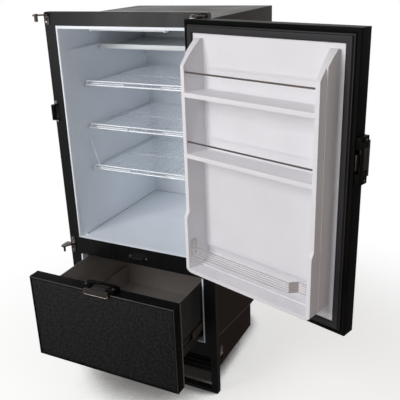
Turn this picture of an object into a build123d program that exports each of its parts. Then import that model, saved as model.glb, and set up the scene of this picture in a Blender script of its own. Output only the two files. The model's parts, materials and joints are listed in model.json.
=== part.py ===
from build123d import *
import os
from math import cos, radians, sin

# Built-in compressor refrigerator: a hinged upper door and a pull-out freezer drawer below it.
# Millimetres. X runs to the right, Y to the back and Z up. The origin is the centre of the
# face frame's underside, which stands on the floor.
os.makedirs("parts", exist_ok=True)

# Face frame: a black extruded frame with three openings
frame_w = 600.0
frame_h = 1343.0
frame_t = 25.0
frame_corner_r = 8.0
frame_edge_r = 2.0
stile_w = 44.0
top_rail_h = 44.0
opening_w = frame_w - 2 * stile_w
fridge_open_z = 537.0
fridge_open_h = frame_h - top_rail_h - fridge_open_z
freezer_open_z = 209.0
freezer_open_h = 261.0
grille_stile_w = 24.0
grille_open_w = frame_w - 2 * grille_stile_w
grille_open_z = 14.0
grille_open_h = 139.0
flange_hole_r = 2.2
flange_hole_inset = 6.8
flange_hole_low_z = 140.0
flange_hole_drop = 117.0
flange_hole_high_z = frame_h - flange_hole_drop

# Cabinet body behind the frame
flange_w = 13.5
body_w = frame_w - 2 * flange_w
body_top_drop = 22.0
body_depth = 550.0
body_floor_z = 182.0
sheet_t = 1.0
skirt_z = 84.0
machine_depth = 222.0
skirt_depth = body_depth - machine_depth
skirt_lip = 20.0
seam_front_z = 222.0
seam_rear_z = 186.0
slot_hole_w = 26.0
slot_hole_h = 56.0
slot_hole_y = 46.0
slot_hole_z = 136.0

# Inner liners
liner_t = 2.0
liner_lip_t = 5.5
liner_lip_back = 0.5
liner_corner_r = 14.0
fridge_side_gap = 11.0
fridge_half = opening_w / 2 - fridge_side_gap
fridge_floor_z = fridge_open_z + sheet_t
fridge_ceiling_drop = 53.0
fridge_ceiling_z = frame_h - fridge_ceiling_drop
fridge_rear_wall = 30.0
fridge_depth = body_depth - fridge_rear_wall
freezer_side_gap = 9.0
freezer_half = opening_w / 2 - freezer_side_gap
freezer_edge = 3.0
freezer_floor_z = freezer_open_z + freezer_edge
freezer_ceiling_z = freezer_open_z + freezer_open_h - freezer_edge - sheet_t
freezer_rear_wall = 50.0
freezer_depth = body_depth - freezer_rear_wall
liner_split_z = (fridge_open_z + freezer_open_z + freezer_open_h) / 2
rib_w = 9.0
rib_h = 8.0
ledge_rise = 18.0
ledge_taper = 45.0

# Wire shelves
shelf_drop = 203.0
shelf_pitch = 155.0
shelf_z = {
    "shelf_upper": fridge_ceiling_z - shelf_drop,
    "shelf_middle": fridge_ceiling_z - shelf_drop - shelf_pitch,
    "shelf_lower": fridge_ceiling_z - shelf_drop - 2 * shelf_pitch,
}
shelf_front = 80.0
shelf_rear_gap = 6.0
shelf_side_gap = 1.5
rail_r = 2.8
bar_r = 2.7
guard_r = 2.3
wire_r = 1.5
wire_count = 29
wire_weld = 0.8
guard_h = 14.0
guard_inset = 12.0
stay_r = 2.0
stay_reach = 40.0
stay_rise = 120.0

# Cooling pieces inside
tray_drop = 90.0
tray_floor_z = fridge_ceiling_z - tray_drop
tray_front = 186.0
tray_t = 2.0
tray_lip_h = 16.0
trim_w = 3.5
trim_wall = 1.5
trim_foot = 1.1
trim_clear = 0.1
plate_t = 5.0
plate_side_gap = 40.0
plate_half = fridge_half - plate_side_gap
plate_bulge = 3.0
plate_bulge_h = 14.0
ice_plate_side_gap = 57.0
ice_plate_half = freezer_half - ice_plate_side_gap
ice_plate_edge = 37.0
ice_plate_h = freezer_ceiling_z - freezer_floor_z - 2 * ice_plate_edge

# Light bar and thermostat
light_side_gap = 111.0
light_half = fridge_half - light_side_gap
light_h = 8.0
light_w = 18.0
light_clip_w = 8.0
light_set_back = 6.0
stat_w = 24.0
stat_len = 70.0
stat_h = 42.0
stat_set_back = 62.0
stat_drop = 43.0
stat_z = fridge_ceiling_z - stat_drop
knob_r = 15.0
knob_h = 12.0
knob_shaft_r = 3.0

# Door and drawer fronts: framed insulated panels with a gasket on the inner side
front_side_gap = 17.0
front_w = frame_w - 2 * front_side_gap
front_t = 47.0
front_gap = 10.0
front_lip = 6.0
front_ring = 30.0
front_panel_t = 4.5
front_recess = 2.5
gasket_t = 9.4
gasket_inset = 14.0
gasket_w = 22.0
gasket_groove_w = 4.0
gasket_groove_d = 3.0
inner_skin_t = 2.5
door_lap = 24.0
door_z = fridge_open_z - door_lap
door_top_drop = 14.0
door_h = frame_h - door_top_drop - door_z
drawer_lap = 29.0
drawer_z = freezer_open_z - drawer_lap
fronts_gap = 20.0
drawer_h = door_z - fronts_gap - drawer_z

# Places at rest, as photographed
door_swing = 163.0
drawer_out = 199.5

# Door liner: two side towers, two racks and a bottom bin
tower_foot = 51.0
tower_out = 55.0
tower_in = 67.0
tower_root = 75.0
tower_step = 52.0
tower_depth = 77.0
bin_depth = 87.0
bin_floor_rise = 64.0
bin_floor_z = door_z + bin_floor_rise
bin_floor_t = 12.0
bin_corner_r = 25.0
bin_cove_r = 38.0
bin_h = 185.0
brow_rise = 63.5
brow_t = 12.0
brow_r = 20.0
bin_top_z = bin_floor_z + bin_h
tower_jog = 16.0
tower_top_drop = 49.0
tower_slant_h = 67.0
tower_slant_bow = 3.0
tower_top_z = door_z + door_h - tower_top_drop
tower_shoulder_z = tower_top_z - tower_slant_h
tower_top_flat = 12.0
rack_drop = 141.0
rack_pitch = 179.0
rack_z = {"upper": tower_top_z - rack_drop, "lower": tower_top_z - rack_drop - rack_pitch}
rack_t = 13.0
upper_rod_rise = 56.0
lower_rod_rise = 35.0
rod_z = {"upper": rack_z["upper"] + upper_rod_rise, "lower": rack_z["lower"] + lower_rod_rise}
rod_r = 2.5
rod_set_back = 7.0
rod_socket = 4.0
rod_clear = 0.1
fence_rise = 56.0
fence_z = bin_floor_z + fence_rise
fence_h = 32.0
fence_t = 3.0
fence_set_back = 12.0
fence_bend_gap = 132.0
fence_bend_run = 18.0
fence_bend_back = 21.0
fence_tab = 18.0
fence_tab_rise = 22.0

# Hinges
hinge_inset = 13.2
pin_r = 4.0
pin_head_r = 7.0
pin_head_t = 3.0
pin_reach = 20.0
bush_r = 7.0
bush_flange_r = 9.5
bush_flange_t = 2.6
fit_clear = 0.05
run_clear = 0.08
bracket_t = 4.0
bracket_plate_t = 3.0
bracket_leg_w = 20.0
bracket_offset = 17.2
bracket_nose_r = 11.0
top_arm_gap = 3.0
bottom_arm_gap = 4.0
top_leg_h = 34.0
bottom_leg_below = 33.0
bottom_leg_above = 30.0
leg_screw_edge = 9.0
spare_barrel_r = 6.0
spare_barrel_h = 18.0

# Latches on the two fronts and their strikes on the frame
latch_rise = 498.0
latch_z = door_z + latch_rise
latch_half = 62.0
latch_gap_half = 31.0
latch_h = 13.0
latch_front = 44.0
latch_rear = 4.0
latch_bridge = 26.0
latch_bridge_t = 2.0
latch_cover_half = 50.0
latch_cover_z = 13.6
latch_cover_t = 1.8
latch_cover_reach = 20.0
latch_screw_a = 53.0
latch_screw_b = 30.0
pivot_b = 20.0
pivot_c = 6.5
pivot_r = 2.0
pivot_reach = 8.0
tongue_half = 20.0
tongue_t = 3.0
tongue_reach = 4.0
lever_side_gap = 1.0
hub_r = 4.2
paddle_half = 47.0
paddle_gap = 2.0
paddle_t = 4.0
paddle_plate_h = 7.0
paddle_finger_gap = 6.0
paddle_drop = 10.0
strike_half = 27.0
strike_wall = 3.0
strike_lid_t = 2.0
strike_reach = 12.0
strike_base_t = 2.0
strike_ear = 40.0
strike_screw_a = 33.0
strike_low = 1.0

# Screws
screw_r = 2.0
screw_head_r = 4.0
screw_head_t = 2.4
screw_bite = 9.0

# Drawer box and slides
box_rear_gap = 30.0
box_len = freezer_depth - box_rear_gap
box_wall = 2.0
box_side_gap = 4.0
slide_room = 16.0
box_wide_half = freezer_half - box_side_gap
box_low_half = freezer_half - slide_room
box_top_gap = 16.0
box_top_z = freezer_ceiling_z - box_top_gap
box_floor_gap = 6.0
box_floor_z = freezer_floor_z + box_floor_gap
box_low_h = 80.0
box_shoulder_z = box_floor_z + box_low_h
slide_rear_gap = 50.0
slide_len = freezer_depth - slide_rear_gap
slide_rise = 46.0
slide_z = freezer_floor_z + slide_rise
slide_h = 36.0
slide_t = 1.8
slide_clear = 0.5
slide_set_back = 5.0
slide_lap = 9.0

# Louvred grille in the frame's lowest opening
grille_clear = 0.3
grille_cheek = 3.0
blade_count = 4
blade_pitch = 18.0
blade_t = 2.5
blade_depth = 18.0
blade_rise = 9.0
apron_rise = 26.0
apron_h = 44.0
apron_low_z = grille_open_z + apron_rise
blade_low_z = apron_low_z + apron_h
apron_t = 2.5

# Machine space at the lower rear
deck_side_gap = 91.5
deck_half = body_w / 2 - deck_side_gap
deck_gap = 7.0
deck_z = 18.0
deck_t = 2.0
deck_flange = 16.0
foot_r = 16.0
foot_inset = 25.0
grommet_r = 9.0
grommet_h = 10.0
pot_side_gap = 12.0
pot_rear_gap = 100.5
pot_w = 160.0
pot_d = 144.0
pot_h = 112.0
pot_corner_r = 58.0
pot_top_r = 34.0
pot_foot_t = 3.0
pot_foot_w = 176.0
pot_foot_d = 156.0
pot_foot_inset = 14.0
pot_x = deck_half - pot_side_gap - pot_foot_w / 2
module_x = pot_x
module_w = 110.0
module_d = 20.0
module_h = 70.0
coil_pot_room = 54.0
coil_side_gap = 15.0
coil_w = 2 * deck_half - pot_foot_w - coil_pot_room
coil_x = coil_side_gap + coil_w / 2 - deck_half
coil_d = 40.0
coil_h = 144.0
coil_set_back = 12.0
fin_count = 25
fin_t = 1.2
coil_tube_r = 4.0
shroud_gap = 2.0
shroud_t = 26.0
fan_side_gap = 22.0
fan_r = coil_w / 2 - fan_side_gap
fan_gap = 4.0
fan_hub_r = 20.0
fan_hub_t = 12.0
fan_hub_gap = 1.0
fan_shaft_r = 2.5
fan_boss_t = 8.0
fan_blade_count = 5
fan_blade_t = 2.0
fan_blade_w = 24.0
fan_blade_pitch = 28.0
spoke_w = 6.0
tube_r = 3.0
tube_clear = 0.5
tube_bend_r = 6.0
coil_lead = 15.0
suction_offset = 25.0
suction_x = pot_x + suction_offset
suction_drop = 44.0
suction_top_z = fridge_ceiling_z - suction_drop
gland_inset = 38.0
gland_z = 60.0
gland_r = 10.0
gland_bore_r = 4.0
gland_t = 6.0

# Places worked out from the sizes above
overcut = 1.0
front_y = -frame_t / 2
back_y = frame_t / 2
body_half = body_w / 2
inside_half = body_half - sheet_t
body_top_z = frame_h - body_top_drop
body_rear_y = back_y + body_depth
skirt_rear_y = back_y + skirt_depth
fridge_rear_y = back_y + fridge_depth
freezer_rear_y = back_y + freezer_depth
foam_rear_y = body_rear_y - sheet_t
front_half = front_w / 2
closed_y = front_y - front_gap
hinge_x = front_half - hinge_inset
hinge_y = closed_y - front_t / 2
door_top_z = door_z + door_h
drawer_top_z = drawer_z + drawer_h
drawer_y = closed_y - drawer_out
top_arm_z = door_top_z + top_arm_gap
bottom_arm_z = door_z - bottom_arm_gap - bracket_t
hinge_leg_x = hinge_x + bracket_offset
spare_leg_x = -hinge_leg_x
spare_pin_x = spare_leg_x - bracket_offset
deck_top_z = deck_z + deck_t
deck_front_y = skirt_rear_y + deck_gap
deck_rear_y = body_rear_y - deck_gap
pot_y = deck_rear_y - pot_rear_gap

# The door's own axes: x from the hinge end to the free end, y outwards, z up
door_along = (-cos(radians(door_swing)), -sin(radians(door_swing)), 0)
door_outwards = (sin(radians(door_swing)), -cos(radians(door_swing)), 0)
door_corner_x = hinge_x - hinge_inset * door_along[0] - front_t / 2 * door_outwards[0]
door_corner_y = hinge_y - hinge_inset * door_along[1] - front_t / 2 * door_outwards[1]
door_plane = Plane((door_corner_x, door_corner_y, door_z), x_dir=door_along, z_dir=(0, 0, 1))
drawer_plane = Plane((front_half, drawer_y, drawer_z), x_dir=(-1, 0, 0), z_dir=(0, 0, 1))

# Latch axes: x along the latch, y inwards, z away from the edge that it is screwed to
door_latch_origin = door_plane.from_local_coords((front_w, 0, latch_z - door_z))
door_latch_plane = Plane(door_latch_origin, x_dir=(0, 0, 1), z_dir=door_along)
drawer_latch_plane = Plane((0, drawer_y, drawer_top_z), x_dir=(1, 0, 0), z_dir=(0, 0, 1))
door_strike_plane = Plane((-front_half, closed_y, latch_z), x_dir=(0, 0, 1), z_dir=(-1, 0, 0))
drawer_strike_plane = Plane((0, closed_y, drawer_top_z), x_dir=(1, 0, 0), z_dir=(0, 0, 1))


def block(x0, x1, y0, y1, z0, z1, mode=Mode.ADD):
    """A box between two corners, in the axes of the piece that is being built."""
    with Locations(((x0 + x1) / 2, (y0 + y1) / 2, (z0 + z1) / 2)):
        Box(x1 - x0, y1 - y0, z1 - z0, mode=mode)


def facing(y):
    """The plane at y with X to the right and Z up, whose positive side is towards the user."""
    return Plane.XZ.offset(-y)


def write(piece, name):
    piece.part.label = name
    export_step(piece.part, f"parts/{name}.step")


# Screw places on the frame's front: the brackets' legs and the strikes' ears
leg_screw_spots = []
for leg_x in (hinge_leg_x, spare_leg_x):
    leg_screw_spots += [
        (leg_x, top_arm_z + bracket_t - leg_screw_edge),
        (leg_x, top_arm_z + bracket_t - top_leg_h + leg_screw_edge),
        (leg_x, bottom_arm_z - bottom_leg_below + leg_screw_edge),
        (leg_x, bottom_arm_z + bottom_leg_above - leg_screw_edge),
    ]
strike_mid = (strike_low + latch_h) / 2
ear_screw_spots = []
for end in (-1, 1):
    ear_screw_spots += [
        (-front_half - strike_mid, latch_z + end * strike_screw_a),
        (end * strike_screw_a, drawer_top_z + strike_mid),
    ]

# Face frame
with BuildPart() as face_frame:
    with BuildSketch(facing(back_y)) as frame_face:
        with Locations((0, frame_h / 2)):
            Rectangle(frame_w, frame_h)
        fillet(frame_face.vertices().group_by(Axis.Y)[-1], frame_corner_r)
        with Locations((0, fridge_open_z + fridge_open_h / 2)):
            Rectangle(opening_w, fridge_open_h, mode=Mode.SUBTRACT)
        with Locations((0, freezer_open_z + freezer_open_h / 2)):
            Rectangle(opening_w, freezer_open_h, mode=Mode.SUBTRACT)
        with Locations((0, grille_open_z + grille_open_h / 2)):
            Rectangle(grille_open_w, grille_open_h, mode=Mode.SUBTRACT)
    extrude(amount=frame_t)
    fillet(face_frame.faces().sort_by(Axis.Y)[0].outer_wire().edges(), frame_edge_r)
    with BuildSketch(facing(back_y)):
        for hole_z in (flange_hole_low_z, flange_hole_high_z):
            with GridLocations(frame_w - 2 * flange_hole_inset, 1, 2, 1):
                with Locations((0, hole_z)):
                    Circle(flange_hole_r)
    extrude(amount=frame_t, mode=Mode.SUBTRACT)
    with BuildSketch(facing(front_y)):
        with Locations(leg_screw_spots + ear_screw_spots):
            Circle(screw_r + fit_clear)
    extrude(amount=-screw_bite - overcut, mode=Mode.SUBTRACT)
write(face_frame, "face_frame")

# Steel wrap: both sides and the top in one folded sheet, with a slanting lower seam at the front
with BuildPart() as cabinet_wrap:
    with BuildSketch(Plane.YZ.offset(-body_half)):
        with BuildLine():
            Polyline(
                (back_y, seam_front_z),
                (skirt_rear_y, seam_rear_z),
                (skirt_rear_y, body_floor_z),
                (body_rear_y, body_floor_z),
                (body_rear_y, body_top_z),
                (back_y, body_top_z),
                close=True,
            )
        make_face()
    extrude(amount=body_w)
    block(
        -inside_half,
        inside_half,
        back_y - overcut,
        body_rear_y + overcut,
        skirt_z,
        body_top_z - sheet_t,
        Mode.SUBTRACT,
    )
write(cabinet_wrap, "cabinet_wrap")

# Rear sheet and underside sheet
suction_y = (fridge_rear_y + liner_t + foam_rear_y) / 2
with BuildPart() as back_panel:
    block(-inside_half, inside_half, foam_rear_y, body_rear_y, body_floor_z, body_top_z - sheet_t)
write(back_panel, "back_panel")

with BuildPart() as deck_plate:
    block(-inside_half, inside_half, back_y, foam_rear_y, body_floor_z, body_floor_z + sheet_t)
    with Locations((suction_x, suction_y, body_floor_z)):
        Cylinder(tube_r + tube_clear, 4 * sheet_t, mode=Mode.SUBTRACT)
write(deck_plate, "deck_plate")

# Side skirts of the air duct, each an angle with a hand hole
with BuildPart() as side_skirts:
    for skirt_x in (-body_half, inside_half):
        with BuildSketch(Plane.YZ.offset(skirt_x)):
            with BuildLine():
                Polyline(
                    (back_y, skirt_z),
                    (skirt_rear_y, skirt_z),
                    (skirt_rear_y, seam_rear_z),
                    (back_y, seam_front_z),
                    close=True,
                )
            make_face()
            with Locations((back_y + slot_hole_y, slot_hole_z)):
                SlotOverall(slot_hole_h, slot_hole_w, rotation=90, mode=Mode.SUBTRACT)
        extrude(amount=sheet_t)
    block(-inside_half, skirt_lip - inside_half, back_y, skirt_rear_y, skirt_z, skirt_z + sheet_t)
    block(inside_half - skirt_lip, inside_half, back_y, skirt_rear_y, skirt_z, skirt_z + sheet_t)
write(side_skirts, "side_skirts")


def tub(half, floor_z, ceiling_z, depth, flange_low_z, flange_high_z, open_low_z, open_high_z):
    """A white formed liner: an open-fronted tub with a flange behind the face frame.

    A lip lines the frame's opening, nearly as far as the frame's front.
    """
    middle_z = (floor_z + ceiling_z) / 2
    height = ceiling_z - floor_z
    with BuildPart() as made:
        with BuildSketch(facing(back_y)):
            with Locations((0, middle_z)):
                RectangleRounded(2 * (half + liner_t), height + 2 * liner_t, liner_corner_r + liner_t)
        extrude(amount=-(depth + liner_t))
        block(-inside_half, inside_half, back_y, back_y + liner_t, flange_low_z, flange_high_z)
        lip_half = opening_w / 2 - liner_lip_t
        block(-opening_w / 2, opening_w / 2, front_y + liner_lip_back, back_y, open_low_z, open_high_z)
        block(-lip_half, lip_half, front_y, back_y, floor_z, ceiling_z, Mode.SUBTRACT)
        with BuildSketch(facing(back_y)):
            with Locations((0, middle_z)):
                RectangleRounded(2 * half, height, liner_corner_r)
        extrude(amount=-depth, mode=Mode.SUBTRACT)
    return made


# Upper liner, with ribs under the shelves and the drip tray and a tapered ledge before the tray
ledge_z = tray_floor_z + ledge_rise
ledge_y = (back_y + liner_t, back_y + liner_t + ledge_taper, back_y + tray_front)
with BuildPart() as tray_ledges:
    with BuildSketch(Plane.XY.offset(ledge_z - rib_h)):
        for side in (-1, 1):
            with BuildLine():
                Polyline(
                    (side * (fridge_half + liner_t / 2), ledge_y[0]),
                    (side * fridge_half, ledge_y[0]),
                    (side * (fridge_half - rib_w), ledge_y[1]),
                    (side * (fridge_half - rib_w), ledge_y[2]),
                    (side * (fridge_half + liner_t / 2), ledge_y[2]),
                    close=True,
                )
            make_face()
    extrude(amount=rib_h)
fridge_liner = tub(
    fridge_half,
    fridge_floor_z,
    fridge_ceiling_z,
    fridge_depth,
    liner_split_z,
    body_top_z - sheet_t,
    fridge_open_z,
    fridge_open_z + fridge_open_h,
)
with fridge_liner:
    rib_tops = [(z - rail_r, shelf_front) for z in shelf_z.values()]
    rib_tops.append((tray_floor_z, tray_front))
    for rib_top, rib_start in rib_tops:
        for rib_x in (-fridge_half, fridge_half - rib_w):
            block(
                rib_x,
                rib_x + rib_w,
                back_y + rib_start,
                fridge_rear_y,
                rib_top - rib_h,
                rib_top,
            )
    add(tray_ledges.part)
    with Locations((suction_x, fridge_rear_y, suction_top_z)):
        Cylinder(
            tube_r + tube_clear, 4 * liner_t, rotation=(90, 0, 0), mode=Mode.SUBTRACT
        )
write(fridge_liner, "fridge_liner")

freezer_liner = tub(
    freezer_half,
    freezer_floor_z,
    freezer_ceiling_z,
    freezer_depth,
    body_floor_z + sheet_t,
    liner_split_z,
    freezer_open_z,
    freezer_ceiling_z,
)
write(freezer_liner, "freezer_liner")

# Foam between the liners and the sheets
with BuildPart() as insulation:
    block(
        -inside_half,
        inside_half,
        back_y + liner_t,
        foam_rear_y,
        body_floor_z + sheet_t,
        body_top_z - sheet_t,
    )
    for half, low_z, high_z, depth in (
        (fridge_half, fridge_floor_z, fridge_ceiling_z, fridge_depth),
        (freezer_half, freezer_floor_z, freezer_ceiling_z, freezer_depth),
    ):
        with BuildSketch(facing(back_y)):
            with Locations((0, (low_z + high_z) / 2)):
                RectangleRounded(
                    2 * (half + liner_t), high_z - low_z + 2 * liner_t, liner_corner_r + liner_t
                )
        extrude(amount=-(depth + liner_t), mode=Mode.SUBTRACT)
    bore_h = suction_top_z - body_floor_z + tube_bend_r
    with Locations((suction_x, suction_y, body_floor_z + bore_h / 2)):
        Cylinder(tube_r + tube_clear, bore_h, mode=Mode.SUBTRACT)
    block(
        suction_x - tube_r - tube_clear,
        suction_x + tube_r + tube_clear,
        fridge_rear_y + liner_t,
        suction_y + tube_r + tube_clear,
        suction_top_z - 2 * tube_bend_r,
        suction_top_z + tube_bend_r,
        Mode.SUBTRACT,
    )
write(insulation, "insulation")


def wire_shelf(height_z, has_stay):
    """A white wire shelf: rails and bars, wires from front to back and a bent front guard.

    A stay is one more wire, which slants from the front bar up to the left wall.
    """
    half = fridge_half - shelf_side_gap
    front = back_y + shelf_front + rail_r
    rear = fridge_rear_y - shelf_rear_gap - rail_r
    wire_z = height_z + bar_r + wire_r - wire_weld
    guard_x = half - guard_inset
    with BuildPart() as made:
        with BuildSketch(facing(rear + rail_r)):
            with Locations((rail_r - half, height_z), (half - rail_r, height_z)):
                Circle(rail_r)
        extrude(amount=rear - front + 2 * rail_r)
        with BuildSketch(Plane.YZ.offset(rail_r - half)):
            with Locations((front, height_z), ((front + rear) / 2, height_z), (rear, height_z)):
                Circle(bar_r)
        extrude(amount=2 * (half - rail_r))
        with BuildSketch(facing(rear)):
            with Locations((0, wire_z)):
                with GridLocations((2 * half - 8 * rail_r) / (wire_count - 1), 1, wire_count, 1):
                    Circle(wire_r)
        extrude(amount=rear - front)
        with BuildLine() as guard_line:
            FilletPolyline(
                (-guard_x, front, height_z),
                (-guard_x, front, height_z + guard_h),
                (guard_x, front, height_z + guard_h),
                (guard_x, front, height_z),
                radius=2 * bar_r,
            )
        with BuildSketch(Plane((-guard_x, front, height_z))):
            Circle(guard_r)
        sweep(path=guard_line.line)
        with Locations((0, front, height_z + guard_h / 2)):
            Cylinder(wire_r, guard_h)
        if has_stay:
            stay_foot = Vector(stay_reach - fridge_half, front, height_z)
            stay_top = Vector(stay_r - fridge_half, front, height_z + stay_rise)
            with BuildSketch(Plane(stay_foot, z_dir=stay_top - stay_foot)):
                Circle(stay_r)
            extrude(amount=(stay_top - stay_foot).length)
    return made


for shelf_name, height_z in shelf_z.items():
    write(wire_shelf(height_z, has_stay=shelf_name == "shelf_lower"), shelf_name)

# Drip tray under the cooling plate: a sheet with a push-on trim along each edge
with BuildPart() as drip_tray:
    tray_rear_y = fridge_rear_y - plate_t - plate_bulge - tray_t
    tray_front_y = back_y + tray_front
    tray_half = fridge_half - shelf_side_gap
    sheet_low_z = tray_floor_z + trim_foot
    side_trim_y = (tray_front_y + trim_w + fit_clear, tray_rear_y - trim_w - fit_clear)
    trim_ends = (
        (-tray_half, tray_half, tray_front_y, tray_front_y + trim_w),
        (-tray_half, tray_half, tray_rear_y - trim_w, tray_rear_y),
        (-tray_half, trim_w - tray_half, *side_trim_y),
        (tray_half - trim_w, tray_half, *side_trim_y),
    )
    for low_x, high_x, low_y, high_y in trim_ends:
        block(low_x, high_x, low_y, high_y, tray_floor_z, tray_floor_z + tray_lip_h)
    block(
        trim_wall - tray_half,
        tray_half - trim_wall,
        tray_front_y + trim_wall,
        tray_rear_y - trim_wall,
        sheet_low_z - trim_clear,
        sheet_low_z + tray_t + trim_clear,
        Mode.SUBTRACT,
    )
    block(
        trim_wall + trim_clear - tray_half,
        tray_half - trim_wall - trim_clear,
        tray_front_y + trim_wall + trim_clear,
        tray_rear_y - trim_wall - trim_clear,
        sheet_low_z,
        sheet_low_z + tray_t,
    )
write(drip_tray, "drip_tray")

# Cooling plate on the upper liner's rear wall, with two raised refrigerant channels
with BuildPart() as evaporator:
    plate_low_z = tray_floor_z + tray_t
    block(
        -plate_half,
        plate_half,
        fridge_rear_y - plate_t,
        fridge_rear_y,
        plate_low_z,
        fridge_ceiling_z - liner_corner_r,
    )
    for share in (1, 2):
        channel_z = plate_low_z + share * (fridge_ceiling_z - liner_corner_r - plate_low_z) / 3
        block(
            2 * plate_bulge_h - plate_half,
            plate_half - 2 * plate_bulge_h,
            fridge_rear_y - plate_t - plate_bulge,
            fridge_rear_y - plate_t,
            channel_z - plate_bulge_h / 2,
            channel_z + plate_bulge_h / 2,
        )
write(evaporator, "evaporator")

# Cooling plate on the freezer liner's rear wall
with BuildPart() as freezer_evaporator:
    ice_low_z = (freezer_floor_z + freezer_ceiling_z - ice_plate_h) / 2
    block(
        -ice_plate_half,
        ice_plate_half,
        freezer_rear_y - plate_t,
        freezer_rear_y,
        ice_low_z,
        ice_low_z + ice_plate_h,
    )
write(freezer_evaporator, "freezer_evaporator")

# Light bar with a clip at each end, under the front of the ceiling
with BuildPart() as light_bar:
    light_y = back_y + light_set_back
    block(-light_half, light_half, light_y, light_y + light_w, fridge_ceiling_z - light_h, fridge_ceiling_z)
    for end in (-1, 1):
        clip_x = end * (light_half + light_clip_w / 2)
        block(
            clip_x - light_clip_w / 2,
            clip_x + light_clip_w / 2,
            light_y - light_clip_w / 4,
            light_y + light_w + light_clip_w / 4,
            fridge_ceiling_z - light_h - light_clip_w / 4,
            fridge_ceiling_z,
        )
write(light_bar, "light_bar")

# Thermostat on the right wall, and its knob
stat_y = back_y + stat_set_back + stat_len / 2
stat_face_x = fridge_half - stat_w
with BuildPart() as thermostat_housing:
    block(
        stat_face_x,
        fridge_half,
        stat_y - stat_len / 2,
        stat_y + stat_len / 2,
        stat_z - stat_h / 2,
        stat_z + stat_h / 2,
    )
    fillet(thermostat_housing.faces().sort_by(Axis.X)[0].edges(), 3 * sheet_t)
    with BuildSketch(Plane.YZ.offset(stat_face_x)):
        with Locations((stat_y, stat_z)):
            Circle(knob_shaft_r + run_clear)
    extrude(amount=knob_h, mode=Mode.SUBTRACT)
write(thermostat_housing, "thermostat_housing")

with BuildPart() as thermostat_knob:
    knob_face_x = stat_face_x - 4 * run_clear
    with BuildSketch(Plane.YZ.offset(knob_face_x - knob_h)):
        with Locations((stat_y, stat_z)):
            Circle(knob_r)
    extrude(amount=knob_h)
    fillet(thermostat_knob.faces().sort_by(Axis.X)[0].edges(), sheet_t)
    with BuildSketch(Plane.YZ.offset(knob_face_x)):
        with Locations((stat_y, stat_z)):
            Circle(knob_shaft_r)
    extrude(amount=knob_h - sheet_t)
    block(
        knob_face_x - knob_h - 3 * sheet_t,
        knob_face_x - knob_h + sheet_t,
        stat_y - 2 * sheet_t,
        stat_y + 2 * sheet_t,
        stat_z - knob_r + sheet_t,
        stat_z + knob_r - sheet_t,
    )
write(thermostat_knob, "thermostat_knob")


def bracket(leg_x, arm_z, leg_low_z, leg_high_z):
    """A hinge bracket: a leg screwed to the frame and a forward arm with the pin's hole."""
    pin_x = leg_x - bracket_offset
    leg_right = leg_x + bracket_leg_w / 2
    with BuildPart() as made:
        block(
            leg_x - bracket_leg_w / 2,
            leg_right,
            front_y - bracket_plate_t,
            front_y,
            leg_low_z,
            leg_high_z,
        )
        with BuildSketch(Plane.XY.offset(arm_z)):
            with BuildLine():
                Polyline(
                    (pin_x - bracket_nose_r, hinge_y),
                    (pin_x - bracket_nose_r, front_y),
                    (leg_right, front_y),
                    (leg_right, front_y - bracket_leg_w / 2),
                    (pin_x + bracket_nose_r, hinge_y),
                    close=True,
                )
            make_face()
            with Locations((pin_x, hinge_y)):
                Circle(bracket_nose_r)
                Circle(pin_r + fit_clear, mode=Mode.SUBTRACT)
        extrude(amount=bracket_t)
        with BuildSketch(facing(front_y)):
            with Locations([spot for spot in leg_screw_spots if spot[0] == leg_x]):
                Circle(screw_r + fit_clear)
        extrude(amount=bracket_plate_t, mode=Mode.SUBTRACT)
    return made


top_leg_z = top_arm_z + bracket_t
bottom_leg_z = (bottom_arm_z - bottom_leg_below, bottom_arm_z + bottom_leg_above)
write(bracket(hinge_leg_x, top_arm_z, top_leg_z - top_leg_h, top_leg_z), "hinge_bracket_top")
write(bracket(hinge_leg_x, bottom_arm_z, *bottom_leg_z), "hinge_bracket_bottom")
write(bracket(spare_leg_x, top_arm_z, top_leg_z - top_leg_h, top_leg_z), "spare_bracket_top")
write(bracket(spare_leg_x, bottom_arm_z, *bottom_leg_z), "spare_bracket_bottom")

# Headed pins: two carry the door, two sit in the unused brackets
with BuildPart() as hinge_pins:
    for pin_x, barrel_r, drop in (
        (hinge_x, pin_r, pin_reach),
        (spare_pin_x, spare_barrel_r, spare_barrel_h),
    ):
        with BuildSketch(Plane.XY.offset(top_arm_z + bracket_t)):
            with Locations((pin_x, hinge_y)):
                Circle(pin_head_r)
        extrude(amount=pin_head_t)
        with BuildSketch(Plane.XY.offset(top_arm_z + bracket_t)):
            with Locations((pin_x, hinge_y)):
                Circle(pin_r)
        extrude(amount=-bracket_t)
        with BuildSketch(Plane.XY.offset(top_arm_z)):
            with Locations((pin_x, hinge_y)):
                Circle(barrel_r)
        extrude(amount=-drop)
    for pin_x, rise in ((hinge_x, pin_reach + bracket_t), (spare_pin_x, bracket_t)):
        with BuildSketch(Plane.XY.offset(bottom_arm_z)):
            with Locations((pin_x, hinge_y)):
                Circle(pin_r)
        extrude(amount=rise)
        with BuildSketch(Plane.XY.offset(bottom_arm_z)):
            with Locations((pin_x, hinge_y)):
                Circle(pin_head_r)
        extrude(amount=-pin_head_t)
    with BuildSketch(Plane.XY.offset(bottom_arm_z - pin_head_t)):
        with Locations((spare_pin_x, hinge_y)):
            Circle(pin_r)
    extrude(amount=-spare_barrel_h)
write(hinge_pins, "hinge_pins")


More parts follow.
